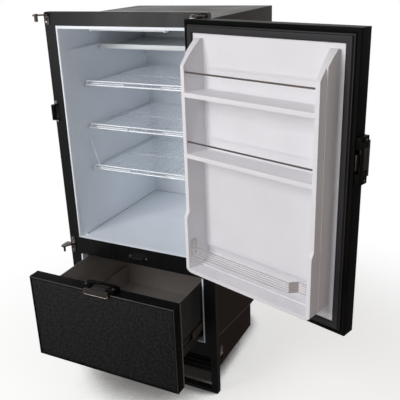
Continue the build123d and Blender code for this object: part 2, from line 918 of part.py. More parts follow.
def strike(plane):
    """A keeper on the frame: a base with two ears and a hood that is open in front and below."""
    with BuildPart(plane) as made:
        block(-strike_ear, strike_ear, front_gap - strike_base_t, front_gap, strike_low, latch_h)
        block(
            -strike_half, strike_half, -strike_reach, front_gap - strike_base_t, strike_low, latch_h
        )
        block(
            strike_wall - strike_half,
            strike_half - strike_wall,
            -strike_reach - overcut,
            front_gap - strike_base_t,
            strike_low - overcut,
            latch_h - strike_lid_t,
            Mode.SUBTRACT,
        )
        with Locations((-strike_screw_a, front_gap, strike_mid), (strike_screw_a, front_gap, strike_mid)):
            Cylinder(
                screw_r + fit_clear, 4 * strike_base_t, rotation=(90, 0, 0), mode=Mode.SUBTRACT
            )
    return made


write(strike(door_strike_plane), "door_strike")
write(strike(drawer_strike_plane), "drawer_strike")

# Pan-head screws in the frame
with BuildPart() as frame_screws:
    for spots, seat_t in (
        (leg_screw_spots, bracket_plate_t),
        (ear_screw_spots, strike_base_t),
    ):
        with BuildSketch(facing(front_y - seat_t)):
            with Locations(spots):
                Circle(screw_r)
        extrude(amount=-(seat_t + screw_bite))
        with BuildSketch(facing(front_y - seat_t)):
            with Locations(spots):
                Circle(screw_head_r)
        extrude(amount=screw_head_t, taper=20)
write(frame_screws, "frame_screws")


def latch_housing(plane):
    """A latch body: two end blocks, a low front bridge and a cover over the strike's hood."""
    with BuildPart(plane) as made:
        for end in (-1, 1):
            low, high = sorted((end * latch_gap_half, end * latch_half))
            block(low, high, -latch_front, -latch_rear, 0, latch_h)
        block(-latch_half, latch_half, -latch_front, -latch_bridge, 0, latch_bridge_t)
        block(
            -latch_cover_half,
            latch_cover_half,
            -latch_cover_reach,
            -latch_rear,
            latch_cover_z,
            latch_cover_z + latch_cover_t,
        )
        for end in (-1, 1):
            low, high = sorted((end * latch_gap_half, end * latch_cover_half))
            block(low, high, -latch_cover_reach, -latch_rear, latch_h, latch_cover_z)
        with Locations((0, -pivot_b, pivot_c)):
            Cylinder(
                pivot_r + run_clear,
                2 * (latch_gap_half + pivot_reach),
                rotation=(0, 90, 0),
                mode=Mode.SUBTRACT,
            )
        with Locations((-latch_screw_a, -latch_screw_b, 0), (latch_screw_a, -latch_screw_b, 0)):
            Cylinder(screw_r + fit_clear, 4 * latch_h, mode=Mode.SUBTRACT)
    return made


def latch_paddle(plane):
    """A sprung pull handle on a cross pin, with a tongue that reaches into the strike."""
    lever_half = latch_gap_half - lever_side_gap
    plate_b = latch_front + paddle_gap
    lip_b = front_t + paddle_finger_gap
    with BuildPart(plane) as made:
        with Locations((0, -pivot_b, pivot_c)):
            Cylinder(hub_r, 2 * lever_half, rotation=(0, 90, 0))
            Cylinder(pivot_r, 2 * (latch_gap_half + pivot_reach - lever_side_gap), rotation=(0, 90, 0))
        block(
            -tongue_half,
            tongue_half,
            -pivot_b,
            tongue_reach,
            pivot_c - tongue_t / 2,
            pivot_c + tongue_t / 2,
        )
        block(-lever_half, lever_half, -plate_b - overcut, -pivot_b, pivot_c - tongue_t, pivot_c + tongue_t)
        block(
            -paddle_half,
            paddle_half,
            -lip_b - paddle_t,
            -plate_b,
            pivot_c - paddle_plate_h / 2,
            pivot_c + paddle_plate_h / 2,
        )
        block(
            -paddle_half,
            paddle_half,
            -lip_b - paddle_t,
            -lip_b,
            -paddle_drop,
            pivot_c + paddle_plate_h / 2,
        )
    return made


def latch_screws(plane):
    with BuildPart(plane) as made:
        for end in (-1, 1):
            with Locations((end * latch_screw_a, -latch_screw_b, (latch_h - screw_bite) / 2)):
                Cylinder(screw_r, latch_h + screw_bite)
            with Locations((end * latch_screw_a, -latch_screw_b, latch_h + screw_head_t / 2)):
                Cone(screw_head_r, screw_head_r - screw_head_t / 3, screw_head_t)
    return made


def front_frame(plane, height):
    """The black surround of a front: a thin lip outside and a deep ring behind the panel."""
    seat_y = front_t - front_recess - front_panel_t
    with BuildPart(plane) as made:
        block(0, front_w, 0, front_t, 0, height)
        block(
            front_lip,
            front_w - front_lip,
            seat_y,
            front_t + overcut,
            front_lip,
            height - front_lip,
            Mode.SUBTRACT,
        )
        block(
            front_ring,
            front_w - front_ring,
            -overcut,
            front_t,
            front_ring,
            height - front_ring,
            Mode.SUBTRACT,
        )
    return made


def front_panel(plane, height):
    """The grained sheet let into the surround's outer side."""
    outer_y = front_t - front_recess
    edge = front_lip + grille_clear
    with BuildPart(plane) as made:
        block(edge, front_w - edge, outer_y - front_panel_t, outer_y, edge, height - edge)
    return made


def front_foam(plane, height):
    seat_y = front_t - front_recess - front_panel_t
    with BuildPart(plane) as made:
        block(front_ring, front_w - front_ring, 0, seat_y, front_ring, height - front_ring)
    return made


def front_gasket(plane, height):
    """A square ring of black rubber with a groove round its sealing face."""
    inner = gasket_inset + gasket_w
    groove = gasket_inset + (gasket_w - gasket_groove_w) / 2
    with BuildPart(plane) as made:
        block(
            gasket_inset, front_w - gasket_inset, -gasket_t, 0, gasket_inset, height - gasket_inset
        )
        block(inner, front_w - inner, -gasket_t - overcut, overcut, inner, height - inner, Mode.SUBTRACT)
        for edge, mode in ((groove, Mode.SUBTRACT), (groove + gasket_groove_w, Mode.ADD)):
            block(
                edge,
                front_w - edge,
                -gasket_t,
                gasket_groove_d - gasket_t,
                edge,
                height - edge,
                mode,
            )
        block(inner, front_w - inner, -gasket_t - overcut, overcut, inner, height - inner, Mode.SUBTRACT)
    return made


# Door: surround with bores for the hinge bushes and the latch's screws
latch_edge_h = latch_z - door_z
door_frame = front_frame(door_plane, door_h)
with door_frame:
    for bore_z in (0, door_h):
        with Locations((hinge_inset, front_t / 2, bore_z)):
            Cylinder(bush_r, 2 * (pin_reach + overcut), mode=Mode.SUBTRACT)
    for end in (-1, 1):
        with Locations((front_w, latch_screw_b, latch_edge_h + end * latch_screw_a)):
            Cylinder(
                screw_r + fit_clear,
                2 * (screw_bite + overcut),
                rotation=(0, 90, 0),
                mode=Mode.SUBTRACT,
            )
write(door_frame, "door_frame")
write(front_panel(door_plane, door_h), "door_panel")
write(front_foam(door_plane, door_h), "door_foam")
write(front_gasket(door_plane, door_h), "door_gasket")

with BuildPart(door_plane) as hinge_bushes:
    barrel_h = pin_reach - overcut
    for bore_z, way in ((0, -1), (door_h, 1)):
        with Locations((hinge_inset, front_t / 2, bore_z - way * barrel_h / 2)):
            Cylinder(bush_r - fit_clear, barrel_h)
        with Locations((hinge_inset, front_t / 2, bore_z + way * bush_flange_t / 2)):
            Cylinder(bush_flange_r, bush_flange_t)
        with Locations((hinge_inset, front_t / 2, bore_z)):
            Cylinder(pin_r + run_clear, 4 * pin_reach, mode=Mode.SUBTRACT)
write(hinge_bushes, "hinge_bushes")

# Door liner: the towers take their plan, side and front outlines, then the racks are added
skin_inset = gasket_inset + gasket_w + grille_clear
skin_top = door_h - skin_inset
tower_base = bin_floor_z - door_z
with BuildPart(door_plane) as door_liner:
    with BuildSketch(door_plane.offset(tower_base)):
        for to_u in (lambda u: u, lambda u: front_w - u):
            with BuildLine():
                Polyline(
                    (to_u(tower_foot), 0),
                    (to_u(tower_foot), -tower_step),
                    (to_u(tower_out), -tower_step),
                    (to_u(tower_out), -bin_depth),
                    (to_u(tower_in), -bin_depth),
                    (to_u(tower_root), 0),
                    close=True,
                )
            make_face()
    extrude(amount=tower_top_z - bin_floor_z)
    block(
        tower_out, front_w - tower_out, -bin_depth, 0, tower_base, tower_base + bin_floor_t
    )
    side_origin = door_plane.from_local_coords((0, 0, -door_z))
    side_plane = Plane(side_origin, x_dir=-door_plane.y_dir, z_dir=-door_plane.x_dir)
    with BuildSketch(side_plane):
        with BuildLine():
            Polyline(
                (0, tower_top_z),
                (0, bin_floor_z),
                (bin_depth, bin_floor_z),
                (bin_depth, bin_top_z),
                (tower_depth, bin_top_z + tower_jog),
                (tower_depth, tower_shoulder_z),
            )
            SagittaArc(
                (tower_depth, tower_shoulder_z),
                (tower_top_flat, tower_top_z),
                -tower_slant_bow,
            )
            Line((tower_top_flat, tower_top_z), (0, tower_top_z))
        make_face()
    extrude(amount=-front_w, mode=Mode.INTERSECT)
    with BuildSketch(Plane(door_plane.origin, x_dir=door_plane.x_dir, z_dir=-door_plane.y_dir)):
        outline_h = 2 * (tower_top_z - bin_floor_z)
        with Locations((front_half, tower_base + outline_h / 2)):
            RectangleRounded(front_w - 2 * tower_foot, outline_h, bin_corner_r)
    extrude(amount=bin_depth, mode=Mode.INTERSECT)
    block(skin_inset, front_w - skin_inset, -inner_skin_t, 0, skin_inset, skin_top)
    for rack_top in rack_z.values():
        block(
            tower_out,
            front_w - tower_out,
            -tower_depth,
            0,
            rack_top - rack_t - door_z,
            rack_top - door_z,
        )
    brow_z = bin_floor_z + brow_rise
    brow_low_z = brow_z - (brow_r**2 - (brow_r - brow_t) ** 2) ** 0.5
    brow_top_z = rack_z["lower"] - rack_t
    with BuildSketch(side_plane.offset(-tower_in)):
        with BuildLine():
            RadiusArc((0, brow_low_z), (brow_t, brow_z), -brow_r)
            Polyline((brow_t, brow_z), (brow_t, brow_top_z), (0, brow_top_z), (0, brow_low_z))
        make_face()
    extrude(amount=2 * tower_in - front_w)
    cove_z = tower_base + bin_floor_t
    block(tower_in, front_w - tower_in, -bin_cove_r, 0, cove_z, cove_z + bin_cove_r)
    with Locations((front_half, -bin_cove_r, cove_z + bin_cove_r)):
        Cylinder(
            bin_cove_r - inner_skin_t,
            front_w - 2 * tower_root,
            rotation=(0, 90, 0),
            mode=Mode.SUBTRACT,
        )
    for rod_height in rod_z.values():
        with Locations((front_half, rod_set_back - tower_depth, rod_height - door_z)):
            Cylinder(
                rod_r + rod_clear,
                front_w - 2 * (tower_in - rod_socket),
                rotation=(0, 90, 0),
                mode=Mode.SUBTRACT,
            )
write(door_liner, "door_liner")

# Retaining rods across the racks
with BuildPart(door_plane) as bottle_rods:
    for rod_height in rod_z.values():
        with Locations((front_half, rod_set_back - tower_depth, rod_height - door_z)):
            Cylinder(rod_r, front_w - 2 * (tower_in - rod_socket + rod_clear), rotation=(0, 90, 0))
write(bottle_rods, "bottle_rods")

# Clear fence of the bottom bin: it steps back near its free end and is held between the towers
def tower_face(depth):
    """Distance of a tower's inner face from the door's edge, at that depth."""
    return tower_in + (tower_root - tower_in) * (bin_depth + depth) / bin_depth


fence_y = fence_set_back - bin_depth
fence_back_y = fence_y + fence_bend_back
fence_gap = fence_t / 2 + grille_clear
fence_bend_u = front_w - fence_bend_gap
fence_line = (
    (tower_face(fence_y) + fence_gap, fence_y),
    (fence_bend_u, fence_y),
    (fence_bend_u + fence_bend_run, fence_back_y),
    (front_w - tower_face(fence_back_y) - fence_gap, fence_back_y),
)
tab_lines = (
    (fence_line[0], (tower_face(fence_y + fence_tab) + fence_gap, fence_y + fence_tab)),
    (
        fence_line[3],
        (front_w - tower_face(fence_back_y + fence_tab) - fence_gap, fence_back_y + fence_tab),
    ),
)
with BuildPart(door_plane) as bin_fence:
    with BuildSketch(door_plane.offset(fence_z - door_z)):
        with BuildLine():
            Polyline(*fence_line)
        trace(line_width=fence_t)
    extrude(amount=fence_h)
    with BuildSketch(door_plane.offset(fence_z - door_z)):
        for start, end in tab_lines:
            with BuildLine():
                Line(start, end)
            trace(line_width=fence_t)
    extrude(amount=fence_h + fence_tab_rise)
write(bin_fence, "bin_fence")

# Door latch
write(latch_housing(door_latch_plane), "door_latch")
write(latch_screws(door_latch_plane), "door_latch_screws")
write(latch_paddle(door_latch_plane), "door_paddle")

# Drawer front
drawer_frame = front_frame(drawer_plane, drawer_h)
with drawer_frame:
    for end in (-1, 1):
        with Locations((front_half + end * latch_screw_a, latch_screw_b, drawer_h)):
            Cylinder(screw_r + fit_clear, 2 * (screw_bite + overcut), mode=Mode.SUBTRACT)
write(drawer_frame, "drawer_frame")
write(front_panel(drawer_plane, drawer_h), "drawer_panel")
write(front_foam(drawer_plane, drawer_h), "drawer_foam")
write(front_gasket(drawer_plane, drawer_h), "drawer_gasket")

with BuildPart(drawer_plane) as drawer_inner_panel:
    block(skin_inset, front_w - skin_inset, -inner_skin_t, 0, skin_inset, drawer_h - skin_inset)
write(drawer_inner_panel, "drawer_inner_panel")

write(latch_housing(drawer_latch_plane), "drawer_latch")
write(latch_screws(drawer_latch_plane), "drawer_latch_screws")
write(latch_paddle(drawer_latch_plane), "drawer_paddle")

# Drawer box: folded sheet, stepped in below its shoulder to make room for the slides
box_front_y = drawer_y + inner_skin_t
box_rear_y = box_front_y + box_len
with BuildPart() as drawer_box:
    for wall, start_y, length, mode in (
        (0, box_rear_y, box_len, Mode.ADD),
        (box_wall, box_rear_y - box_wall, box_len - 2 * box_wall, Mode.SUBTRACT),
    ):
        wide = box_wide_half - wall
        low = box_low_half - wall
        floor_z = box_floor_z + wall
        shoulder_z = box_shoulder_z + wall
        rim_z = box_top_z + (overcut if wall else 0)
        with BuildSketch(facing(start_y)):
            with BuildLine():
                Polyline(
                    (-wide, rim_z),
                    (-wide, shoulder_z),
                    (-low, shoulder_z),
                    (-low, floor_z),
                    (low, floor_z),
                    (low, shoulder_z),
                    (wide, shoulder_z),
                    (wide, rim_z),
                    close=True,
                )
            make_face()
        extrude(amount=length, mode=mode)
write(drawer_box, "drawer_box")


def channel_pair(web_x, lip_x, low_z, high_z, start_y):
    """A left and a right channel of thin steel, with the web at web_x and lips reaching to lip_x."""
    way = 1 if lip_x > web_x else -1
    with BuildPart() as made:
        for side in (-1, 1):
            outer = sorted((side * web_x, side * lip_x))
            hollow = sorted((side * (web_x + way * slide_t), side * (lip_x + way * overcut)))
            block(*outer, start_y, start_y + slide_len, low_z, high_z)
            block(
                *hollow,
                start_y - overcut,
                start_y + slide_len + overcut,
                low_z + slide_t,
                high_z - slide_t,
                Mode.SUBTRACT,
            )
    return made


# Three-part drawer slides: outer on the liner, middle between, inner on the box
slide_start_y = back_y + slide_set_back
nest = slide_t + slide_clear
write(
    channel_pair(freezer_half, freezer_half - slide_lap, slide_z, slide_z + slide_h, slide_start_y),
    "slide_outer",
)
middle_x = freezer_half - nest
write(
    channel_pair(
        middle_x,
        middle_x - slide_lap,
        slide_z + nest,
        slide_z + slide_h - nest,
        slide_start_y - drawer_out / 2,
    ),
    "slide_middle",
)
write(
    channel_pair(
        box_low_half,
        middle_x - nest,
        slide_z + 2 * nest,
        slide_z + slide_h - 2 * nest,
        slide_start_y - drawer_out,
    ),
    "slide_inner",
)

# Louvred grille: two cheeks, slanting blades and a sloping apron
grille_half = grille_open_w / 2 - grille_clear
with BuildPart() as louvre_grille:
    grille_top_z = grille_open_z + grille_open_h - grille_clear
    for cheek_x in (-grille_half, grille_half - grille_cheek):
        block(cheek_x, cheek_x + grille_cheek, back_y - blade_depth, back_y, apron_low_z, grille_top_z)
    with BuildSketch(Plane.YZ.offset(-grille_half)):
        for row in range(blade_count):
            low_z = blade_low_z + row * blade_pitch
            with BuildLine():
                Polyline(
                    (back_y - blade_depth, low_z),
                    (back_y, low_z + blade_rise),
                    (back_y, low_z + blade_rise + blade_t),
                    (back_y - blade_depth, low_z + blade_t),
                    close=True,
                )
            make_face()
        with BuildLine():
            Polyline(
                (back_y - blade_depth, apron_low_z),
                (back_y - blade_depth + apron_t, apron_low_z),
                (back_y, blade_low_z),
                (back_y - apron_t, blade_low_z),
                close=True,
            )
        make_face()
    extrude(amount=2 * grille_half)
write(louvre_grille, "louvre_grille")

# Machine tray hung under the body, on rubber feet
with BuildPart() as compressor_tray:
    block(-deck_half, deck_half, deck_front_y, deck_rear_y, deck_z, deck_top_z)
    for side_x in (-deck_half, deck_half - deck_t):
        block(side_x, side_x + deck_t, deck_front_y, deck_rear_y, deck_z, body_floor_z)
    block(
        -deck_half,
        deck_flange - deck_half,
        deck_front_y,
        deck_rear_y,
        body_floor_z - deck_t,
        body_floor_z,
    )
    block(deck_half - deck_flange, deck_half, deck_front_y, deck_rear_y, body_floor_z - deck_t, body_floor_z)
    with BuildSketch(Plane.YZ.offset(-deck_half)):
        with Locations((deck_rear_y - gland_inset, gland_z)):
            Circle(gland_bore_r)
    extrude(amount=deck_t, mode=Mode.SUBTRACT)
write(compressor_tray, "compressor_tray")

with BuildPart() as rubber_feet:
    with BuildSketch(Plane.XY):
        with Locations((0, (deck_front_y + deck_rear_y) / 2)):
            with GridLocations(
                2 * (deck_half - foot_inset), deck_rear_y - deck_front_y - 2 * foot_inset, 2, 2
            ):
                Circle(foot_r)
    extrude(amount=deck_z)
write(rubber_feet, "rubber_feet")

# Hermetic compressor on four rubber grommets
pot_z = deck_top_z + grommet_h
with BuildPart() as compressor:
    block(
        pot_x - pot_foot_w / 2,
        pot_x + pot_foot_w / 2,
        pot_y - pot_foot_d / 2,
        pot_y + pot_foot_d / 2,
        pot_z,
        pot_z + pot_foot_t,
    )
    with BuildSketch(Plane.XY.offset(pot_z + pot_foot_t)):
        with Locations((pot_x, pot_y)):
            RectangleRounded(pot_w, pot_d, pot_corner_r)
    extrude(amount=pot_h)
    fillet(compressor.faces().sort_by(Axis.Z)[-1].edges(), pot_top_r)
write(compressor, "compressor")

with BuildPart() as compressor_grommets:
    with BuildSketch(Plane.XY.offset(deck_top_z)):
        with Locations((pot_x, pot_y)):
            with GridLocations(pot_foot_w - 2 * pot_foot_inset, pot_foot_d - 2 * pot_foot_inset, 2, 2):
                Circle(grommet_r)
    extrude(amount=grommet_h)
write(compressor_grommets, "compressor_grommets")

with BuildPart() as control_module:
    module_y = deck_front_y + 3 * module_d / 4
    block(
        module_x - module_w / 2,
        module_x + module_w / 2,
        module_y - module_d / 2,
        module_y + module_d / 2,
        deck_top_z,
        deck_top_z + module_h,
    )
    fillet(control_module.edges().filter_by(Axis.Z), 3 * sheet_t)
write(control_module, "control_module")

# Condenser: a stack of fins on tubes
coil_y = deck_front_y + coil_set_back + coil_d / 2
coil_z = deck_top_z + coil_h / 2
with BuildPart() as condenser:
    with Locations((coil_x, coil_y, coil_z)):
        with GridLocations((coil_w - fin_t) / (fin_count - 1), 1, fin_count, 1):
            Box(fin_t, coil_d, coil_h)
    with BuildSketch(Plane.YZ.offset(coil_x - coil_w / 2)):
        with Locations((coil_y, coil_z)):
            with GridLocations(coil_d / 2, coil_h / 4, 2, 4):
                Circle(coil_tube_r)
    extrude(amount=coil_w)
write(condenser, "condenser")

# Fan: a shroud with a spoked boss, and the rotor on its shaft
shroud_y = coil_y + coil_d / 2 + shroud_gap
with BuildPart() as fan_shroud:
    block(
        coil_x - coil_w / 2,
        coil_x + coil_w / 2,
        shroud_y,
        shroud_y + shroud_t,
        deck_top_z,
        deck_top_z + coil_h,
    )
    with BuildSketch(facing(shroud_y)):
        with Locations((coil_x, coil_z)):
            Circle(fan_r + fan_gap)
    extrude(amount=-shroud_t, mode=Mode.SUBTRACT)
    with BuildSketch(facing(shroud_y)):
        with Locations((coil_x, coil_z)):
            Circle(fan_hub_r)
            with PolarLocations(0, 3):
                with Locations(((fan_r + fan_gap) / 2, 0)):
                    Rectangle(fan_r + 2 * fan_gap, spoke_w)
            Circle(fan_shaft_r + run_clear, mode=Mode.SUBTRACT)
    extrude(amount=-fan_boss_t)
write(fan_shroud, "fan_shroud")

rotor_y = shroud_y + fan_boss_t + fan_hub_gap
with BuildPart() as fan_rotor:
    with BuildSketch(facing(rotor_y)):
        with Locations((coil_x, coil_z)):
            Circle(fan_hub_r)
    extrude(amount=-fan_hub_t)
    with BuildSketch(facing(rotor_y)):
        with Locations((coil_x, coil_z)):
            Circle(fan_shaft_r)
    extrude(amount=fan_boss_t)
    blade_len = fan_r - fan_hub_r / 2
    with Locations((coil_x, rotor_y + fan_hub_t / 2, coil_z)):
        for blade in range(fan_blade_count):
            turn = blade * 360 / fan_blade_count
            with Locations(Location((0, 0, 0), (0, turn, 0))):
                with Locations(Location(((fan_r + fan_hub_r / 2) / 2, 0, 0), (fan_blade_pitch, 0, 0))):
                    Box(blade_len, fan_blade_t, fan_blade_w)
write(fan_rotor, "fan_rotor")

# Copper tubes: the hot line to the condenser and the return line up the rear wall
pot_top_z = pot_z + pot_foot_t + pot_h
hot_x = pot_x - pot_w / 4
hot_top_z = (pot_top_z + body_floor_z) / 2
lead_x = coil_x + coil_w / 2 + coil_lead
lead_y = coil_y + coil_d / 4
lead_z = coil_z + coil_h * 3 / 8
with BuildPart() as refrigerant_tubes:
    with BuildLine() as hot_line:
        FilletPolyline(
            (hot_x, pot_y, pot_top_z),
            (hot_x, pot_y, hot_top_z),
            (lead_x, pot_y, hot_top_z),
            (lead_x, lead_y, hot_top_z),
            (lead_x, lead_y, lead_z),
            (coil_x + coil_w / 2, lead_y, lead_z),
            radius=tube_bend_r,
        )
    with BuildSketch(Plane((hot_x, pot_y, pot_top_z))):
        Circle(tube_r)
    sweep(path=hot_line.line)
    with BuildLine() as return_line:
        FilletPolyline(
            (suction_x, pot_y, pot_top_z),
            (suction_x, pot_y, hot_top_z),
            (suction_x, suction_y, hot_top_z),
            (suction_x, suction_y, suction_top_z),
            (suction_x, fridge_rear_y, suction_top_z),
            radius=tube_bend_r,
        )
    with BuildSketch(Plane((suction_x, pot_y, pot_top_z))):
        Circle(tube_r)
    sweep(path=return_line.line)
write(refrigerant_tubes, "refrigerant_tubes")

# Cable gland on the tray's left wall
with BuildPart() as cable_gland:
    with BuildSketch(Plane.YZ.offset(-deck_half)):
        with Locations((deck_rear_y - gland_inset, gland_z)):
            Circle(gland_r)
            Circle(gland_bore_r, mode=Mode.SUBTRACT)
    extrude(amount=-gland_t)
write(cable_gland, "cable_gland")
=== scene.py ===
import json
from math import cos, radians, sin

import bmesh
import bpy
from mathutils import Matrix, Vector


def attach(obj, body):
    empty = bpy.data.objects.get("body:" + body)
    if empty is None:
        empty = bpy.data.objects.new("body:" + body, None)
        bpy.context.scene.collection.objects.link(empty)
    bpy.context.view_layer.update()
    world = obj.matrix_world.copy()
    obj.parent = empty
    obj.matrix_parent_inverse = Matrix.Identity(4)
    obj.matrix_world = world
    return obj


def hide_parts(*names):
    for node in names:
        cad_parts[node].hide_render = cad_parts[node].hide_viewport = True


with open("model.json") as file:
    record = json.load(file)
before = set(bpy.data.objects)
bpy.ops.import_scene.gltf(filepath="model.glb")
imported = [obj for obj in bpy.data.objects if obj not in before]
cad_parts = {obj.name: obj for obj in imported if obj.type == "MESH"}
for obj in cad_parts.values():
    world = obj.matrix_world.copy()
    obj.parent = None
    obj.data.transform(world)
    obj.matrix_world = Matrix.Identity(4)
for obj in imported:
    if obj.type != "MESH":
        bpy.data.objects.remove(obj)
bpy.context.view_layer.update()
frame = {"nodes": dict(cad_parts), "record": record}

# Face frame: black anodised extrusions mitred into one frame, fixed to the front edge of the body.
# The anodising is satin, with a faint cloudiness and fine draw marks up the stiles.


def coated(
    name, dark, light, rough, grain=0.004, bump=0.05, stretch=(1, 1, 1), metal=0.0, coat=0.0, shine=0.5
):
    """A finish whose colour, gloss and surface drift a little over a grain of that size in metres."""
    material = bpy.data.materials.new(name)
    material.use_nodes = True
    nodes = material.node_tree.nodes
    link = material.node_tree.links.new
    # The two noises are mixed, and over this span of the mix tone and gloss change.
    speck_share, quiet, busy = 0.4, 0.5, 0.9
    smoothest, roughest = rough - 0.05, rough + 0.06
    shader = nodes["Principled BSDF"]
    shader.inputs["Metallic"].default_value = metal
    shader.inputs["Coat Weight"].default_value = coat
    shader.inputs["Specular IOR Level"].default_value = shine
    place = nodes.new("ShaderNodeTexCoord")
    turn = nodes.new("ShaderNodeMapping")
    turn.inputs["Scale"].default_value = stretch
    link(place.outputs["Object"], turn.inputs["Vector"])
    cloud = nodes.new("ShaderNodeTexNoise")
    cloud.inputs["Scale"].default_value = 7.0
    cloud.inputs["Detail"].default_value = 3.0
    link(turn.outputs["Vector"], cloud.inputs["Vector"])
    speck = nodes.new("ShaderNodeTexNoise")
    speck.inputs["Scale"].default_value = 1 / grain
    speck.inputs["Detail"].default_value = 4.0
    link(turn.outputs["Vector"], speck.inputs["Vector"])
    both = nodes.new("ShaderNodeMath")
    both.operation = "MULTIPLY_ADD"
    both.inputs[1].default_value = speck_share
    link(speck.outputs["Fac"], both.inputs[0])
    link(cloud.outputs["Fac"], both.inputs[2])
    tone = nodes.new("ShaderNodeValToRGB")
    tone.color_ramp.elements[0].position = quiet
    tone.color_ramp.elements[0].color = (*dark, 1)
    tone.color_ramp.elements[1].position = busy
    tone.color_ramp.elements[1].color = (*light, 1)
    link(both.outputs[0], tone.inputs["Fac"])
    link(tone.outputs["Color"], shader.inputs["Base Color"])
    gloss = nodes.new("ShaderNodeMapRange")
    gloss.inputs["From Min"].default_value = quiet
    gloss.inputs["From Max"].default_value = busy
    gloss.inputs["To Min"].default_value = smoothest
    gloss.inputs["To Max"].default_value = roughest
    link(both.outputs[0], gloss.inputs["Value"])
    link(gloss.outputs["Result"], shader.inputs["Roughness"])
    relief = nodes.new("ShaderNodeBump")
    relief.inputs["Strength"].default_value = bump
    relief.inputs["Distance"].default_value = grain / 4
    link(speck.outputs["Fac"], relief.inputs["Height"])
    link(relief.outputs["Normal"], shader.inputs["Normal"])
    return material


def dress(material, *nodes):
    """Gives carried-over solids their finish."""
    for node in nodes:
        for slot in frame["nodes"][node].material_slots:
            slot.material = material


anodised_black = coated(
    "anodised_black", dark=(0.004, 0.004, 0.0045), light=(0.009, 0.009, 0.0095), rough=0.30,
    grain=0.002, bump=0.06, stretch=(1, 1, 0.12), shine=0.12,
)
dress(anodised_black, "face_frame")

# Outer wrap and skirts: painted sheet steel, a warm near-black with the slight orange peel of a
# baked coat. The wrap is one folded sheet and the skirts are screwed on below its slanting edge.
painted_body = coated(
    "painted_body", dark=(0.021, 0.014, 0.0108), light=(0.029, 0.0193, 0.0147), rough=0.36,
    grain=0.003, bump=0.12, shine=0.05,
)
dress(painted_body, "cabinet_wrap", "side_skirts")

# Rear sheet, underside and machine tray: plain galvanised steel with its faint spangle, left bare.
# The sheets are cut and folded and close the wrap, and the tray carries the compressor.
galvanised = coated(
    "galvanised", dark=(0.39, 0.40, 0.41), light=(0.48, 0.49, 0.50), rough=0.38,
    grain=0.012, bump=0.05, metal=0.85,
)
dress(galvanised, "back_panel", "deck_plate", "compressor_tray")

# Liners: white polystyrene drawn down over a mould, so their rims are soft and a little uneven.
# The liners are pushed into the wrap from the front, and foam poured behind them holds both.
bodies = frame["record"]["behaviour"]["bodies"]
body_of = {node: body for body, nodes in bodies.items() for node in nodes}


def stand_for(piece, material, *nodes):
    """A finished piece takes the place and body of these solids, and hides them."""
    if material:
        piece.data.materials.clear()
        piece.data.materials.append(material)
    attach(piece, body_of[nodes[0]])
    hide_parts(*nodes)


def shown(name, mesh):
    """Puts a mesh into the scene."""
    piece = bpy.data.objects.new(name, mesh)
    bpy.context.scene.collection.objects.link(piece)
    return piece


def softened(node, width, material, steps=2, corner=30):
    """The solid with its sharp edges rolled over by that width, as pressing or moulding leaves them."""
    weld, flat, smooth_to = 1e-5, radians(0.5), radians(40)
    work = bmesh.new()
    work.from_mesh(frame["nodes"][node].data)
    bmesh.ops.remove_doubles(work, verts=work.verts, dist=weld)
    bmesh.ops.dissolve_limit(work, angle_limit=flat, verts=work.verts, edges=work.edges)
    sharp = [
        edge for edge in work.edges
        if len(edge.link_faces) == 2 and edge.calc_face_angle() > radians(corner)
    ]
    bmesh.ops.bevel(
        work, geom=sharp, offset=width, segments=steps, profile=0.5, affect="EDGES", clamp_overlap=True
    )
    mesh = bpy.data.meshes.new(node + "_form")
    work.to_mesh(mesh)
    work.free()
    mesh.shade_smooth()
    mesh.set_sharp_from_angle(angle=smooth_to)
    stand_for(shown(node + "_form", mesh), material, node)


drawn_white = coated(
    "drawn_white", dark=(0.82, 0.87, 0.935), light=(0.86, 0.91, 0.965), rough=0.34,
    grain=0.006, bump=0.05, shine=0.4,
)
softened("fridge_liner", width=0.0012, material=drawn_white)
softened("freezer_liner", width=0.0012, material=drawn_white)


def collar(name, half, low, high, insets, profile):
    """The rolled rim of a drawn liner: one closed profile taken round an opening.

    The profile is (share of the inset, depth in mm), and each inset is its width in mm on one edge.
    """
    side, under, over = (inset / 1000 for inset in insets)
    work = bmesh.new()
    rows = []
    for share, depth in profile:
        x = half - share * side
        below, above = low + share * under, high - share * over
        ring = ((-x, below), (x, below), (x, above), (-x, above))
        rows.append([work.verts.new((u, depth / 1000, z)) for u, z in ring])
    for near, far in zip(rows, rows[1:] + rows[:1]):
        for i in range(4):
            work.faces.new((near[i], near[(i + 1) % 4], far[(i + 1) % 4], far[i]))
    bmesh.ops.recalc_face_normals(work, faces=work.faces)
    mesh = bpy.data.meshes.new(name)
    work.to_mesh(mesh)
    work.free()
    mesh.shade_smooth()
    mesh.set_sharp_from_angle(angle=radians(50))
    return shown(name, mesh)


rim_profile = (
    (0.02, -12.2), (0.20, -12.4), (0.36, -11.8), (0.50, -10.4), (0.62, -8.0), (0.72, -4.6), (0.82, 0.0),
    (0.91, 6.0), (0.97, 11.0), (1.02, 15.0), (0.02, 12.4),
)
fridge_rim = collar(
    "fridge_rim", half=0.256, low=0.537, high=1.299, insets=(11, 1, 9), profile=rim_profile
)
fridge_rim.data.materials.append(drawn_white)
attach(fridge_rim, "cabinet")
foam_cream = coated(
    "foam_cream", dark=(0.66, 0.56, 0.33), light=(0.78, 0.68, 0.44), rough=0.85,
    grain=0.002, bump=0.3,
)
dress(foam_cream, "insulation", "door_foam", "drawer_foam")

# Wire shelves: welded steel wire dipped in glossy white plastic. Two short wires are bent up in front
# of each shelf's guard and welded to the front bar.
dipped_white = coated(
    "dipped_white", dark=(0.86, 0.898, 0.942), light=(0.90, 0.933, 0.972), rough=0.24,
    grain=0.002, bump=0.05, coat=0.3, shine=0.8,
)
dress(dipped_white, "shelf_upper", "shelf_middle", "shelf_lower")


